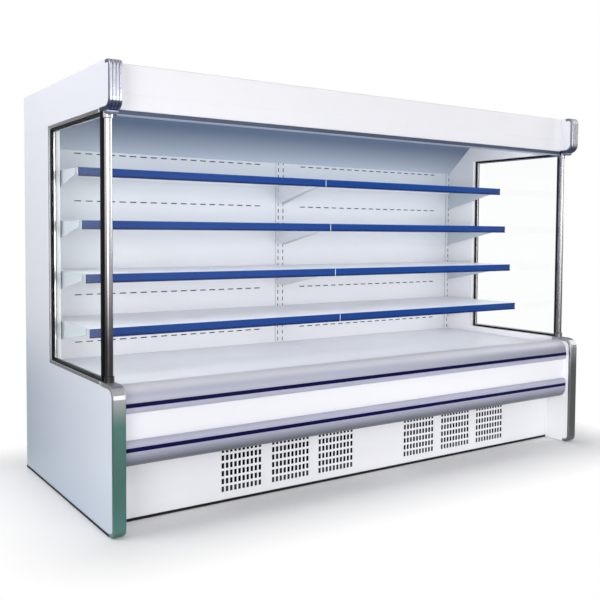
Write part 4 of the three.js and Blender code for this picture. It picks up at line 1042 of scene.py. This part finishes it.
# Dust filters. A mat of black open-cell foam, with pores of 1.8 mm, is clipped behind each group of slots in
# the kick panel; it keeps lint off the condenser, and its black stands in for the shade inside the base, as
# painted shade in the slots.
PORE = 0.0018
FILTER_SIZE = (0.716, 0.003, 0.204)
FILTER_GAP = 0.0042
FILTER_HEIGHT = 0.1361
FILTER_PLACES = {"left": -0.4329, "right": 0.5591}
filter_foam, tree, shader, place = start("black open-cell filter foam")
pores = add(tree, "TexVoronoi", {"Vector": place, "Scale": 1 / PORE}, feature="F1").outputs["Distance"]
# Painted shade: the foam is near black, so that the slots read as shade.
tone = add(tree, "Mix", {0: pores, 6: linear("#050506"), 7: linear("#17181a")}, data_type="RGBA")
bump = add(tree, "Bump", {"Height": pores, "Strength": 0.5, "Distance": 0.001})
feed(shader, {"Base Color": tone.outputs[2], "Normal": bump.outputs[0], "Roughness": 0.95})
feed(shader, {"Specular IOR Level": 0.1})
for hand, x in FILTER_PLACES.items():
    block((x, KICK_FACE + FILTER_GAP, FILTER_HEIGHT), FILTER_SIZE, bevel=0.001, segments=2)
    finished(f"dust_filter_{hand}", "cabinet", filter_foam)


# Edge strips along the floor. Black rubber profiles, clipped on the lower edge of the kick panel and of both
# end walls; their black is painted shadow, the dark line of the gap above the floor.
KICK_STRIP_PLACE = (0, -0.3985, 0.0058)
KICK_STRIP_SIZE = (2.4985, 0.003, 0.0106)
WALL_STRIP_OUT = 1.3007
WALL_STRIP_MIDDLE = 0.0225
WALL_STRIP_LENGTH = 1.068
WALL_STRIP_LIFT = 0.0056
WALL_STRIP_HEIGHT = 0.0088
WALL_STRIP_LIP = 0.048
WALL_STRIP_SKIN = 0.0011
# Painted shadow: the black strips make the dark line above the floor.
block(KICK_STRIP_PLACE, KICK_STRIP_SIZE, bevel=0.0009, segments=3)
bpy.ops.object.shade_smooth_by_angle(angle=SMOOTH_ANGLE)
finished("floor_strip_kick", "cabinet", rubber)
for side, hand in SIDES:
    centre = (side * WALL_STRIP_OUT, WALL_STRIP_MIDDLE, WALL_STRIP_LIFT)
    profile = panel(centre, WALL_STRIP_HEIGHT, WALL_STRIP_LENGTH, (0, side * math.radians(90), 0))
    pick(profile, "edges", lambda line: all(end.z < WALL_STRIP_LIFT for end in ends(profile, line)))
    bpy.ops.mesh.extrude_region_move(TRANSFORM_OT_translate={"value": (-side * WALL_STRIP_LIP, 0, 0)})
    face_outwards()
    thicken(profile, WALL_STRIP_SKIN, 0)
    apply_modifiers(profile)
    finished(f"floor_strip_{hand}", "cabinet", rubber)


# Refrigeration, behind the kick panel and under the deck: a black enamelled hermetic compressor, coils of
# thin fins on tubes, bare in the evaporator and stove-enamelled black in the condenser, and plastic fans.
FIN_PITCH = 0.00604
pump_steel = mottled(
    "black enamelled steel",
    size=0.02,
    detail=3,
    tones=("#141518", "#26282c"),
    look={"Roughness": 0.35},
    relief=(0.1, 0.0005),
)
dress(pump_steel, "compressor")
for name, tones, look, coil in (
    ("bare aluminium fins", ("#8e9196", "#c2c5ca"), {"Metallic": 0.9, "Roughness": 0.4}, "evaporator_coil"),
    ("black stove enamel on fins", ("#17181b", "#33363b"), {"Roughness": 0.5}, "condenser_coil"),
):
    fins, tree, shader, place = start(name)
    lines = add(tree, "TexWave", {"Vector": place, "Scale": WAVE / FIN_PITCH}, bands_direction="X")
    colours = {6: linear(tones[0]), 7: linear(tones[1])}
    tone = add(tree, "Mix", {0: lines.outputs["Fac"], **colours}, data_type="RGBA")
    feed(shader, {"Base Color": tone.outputs[2], **look})
    dress(fins, coil)
dress(foot_plastic, "condenser_fan", "evaporator_fan")
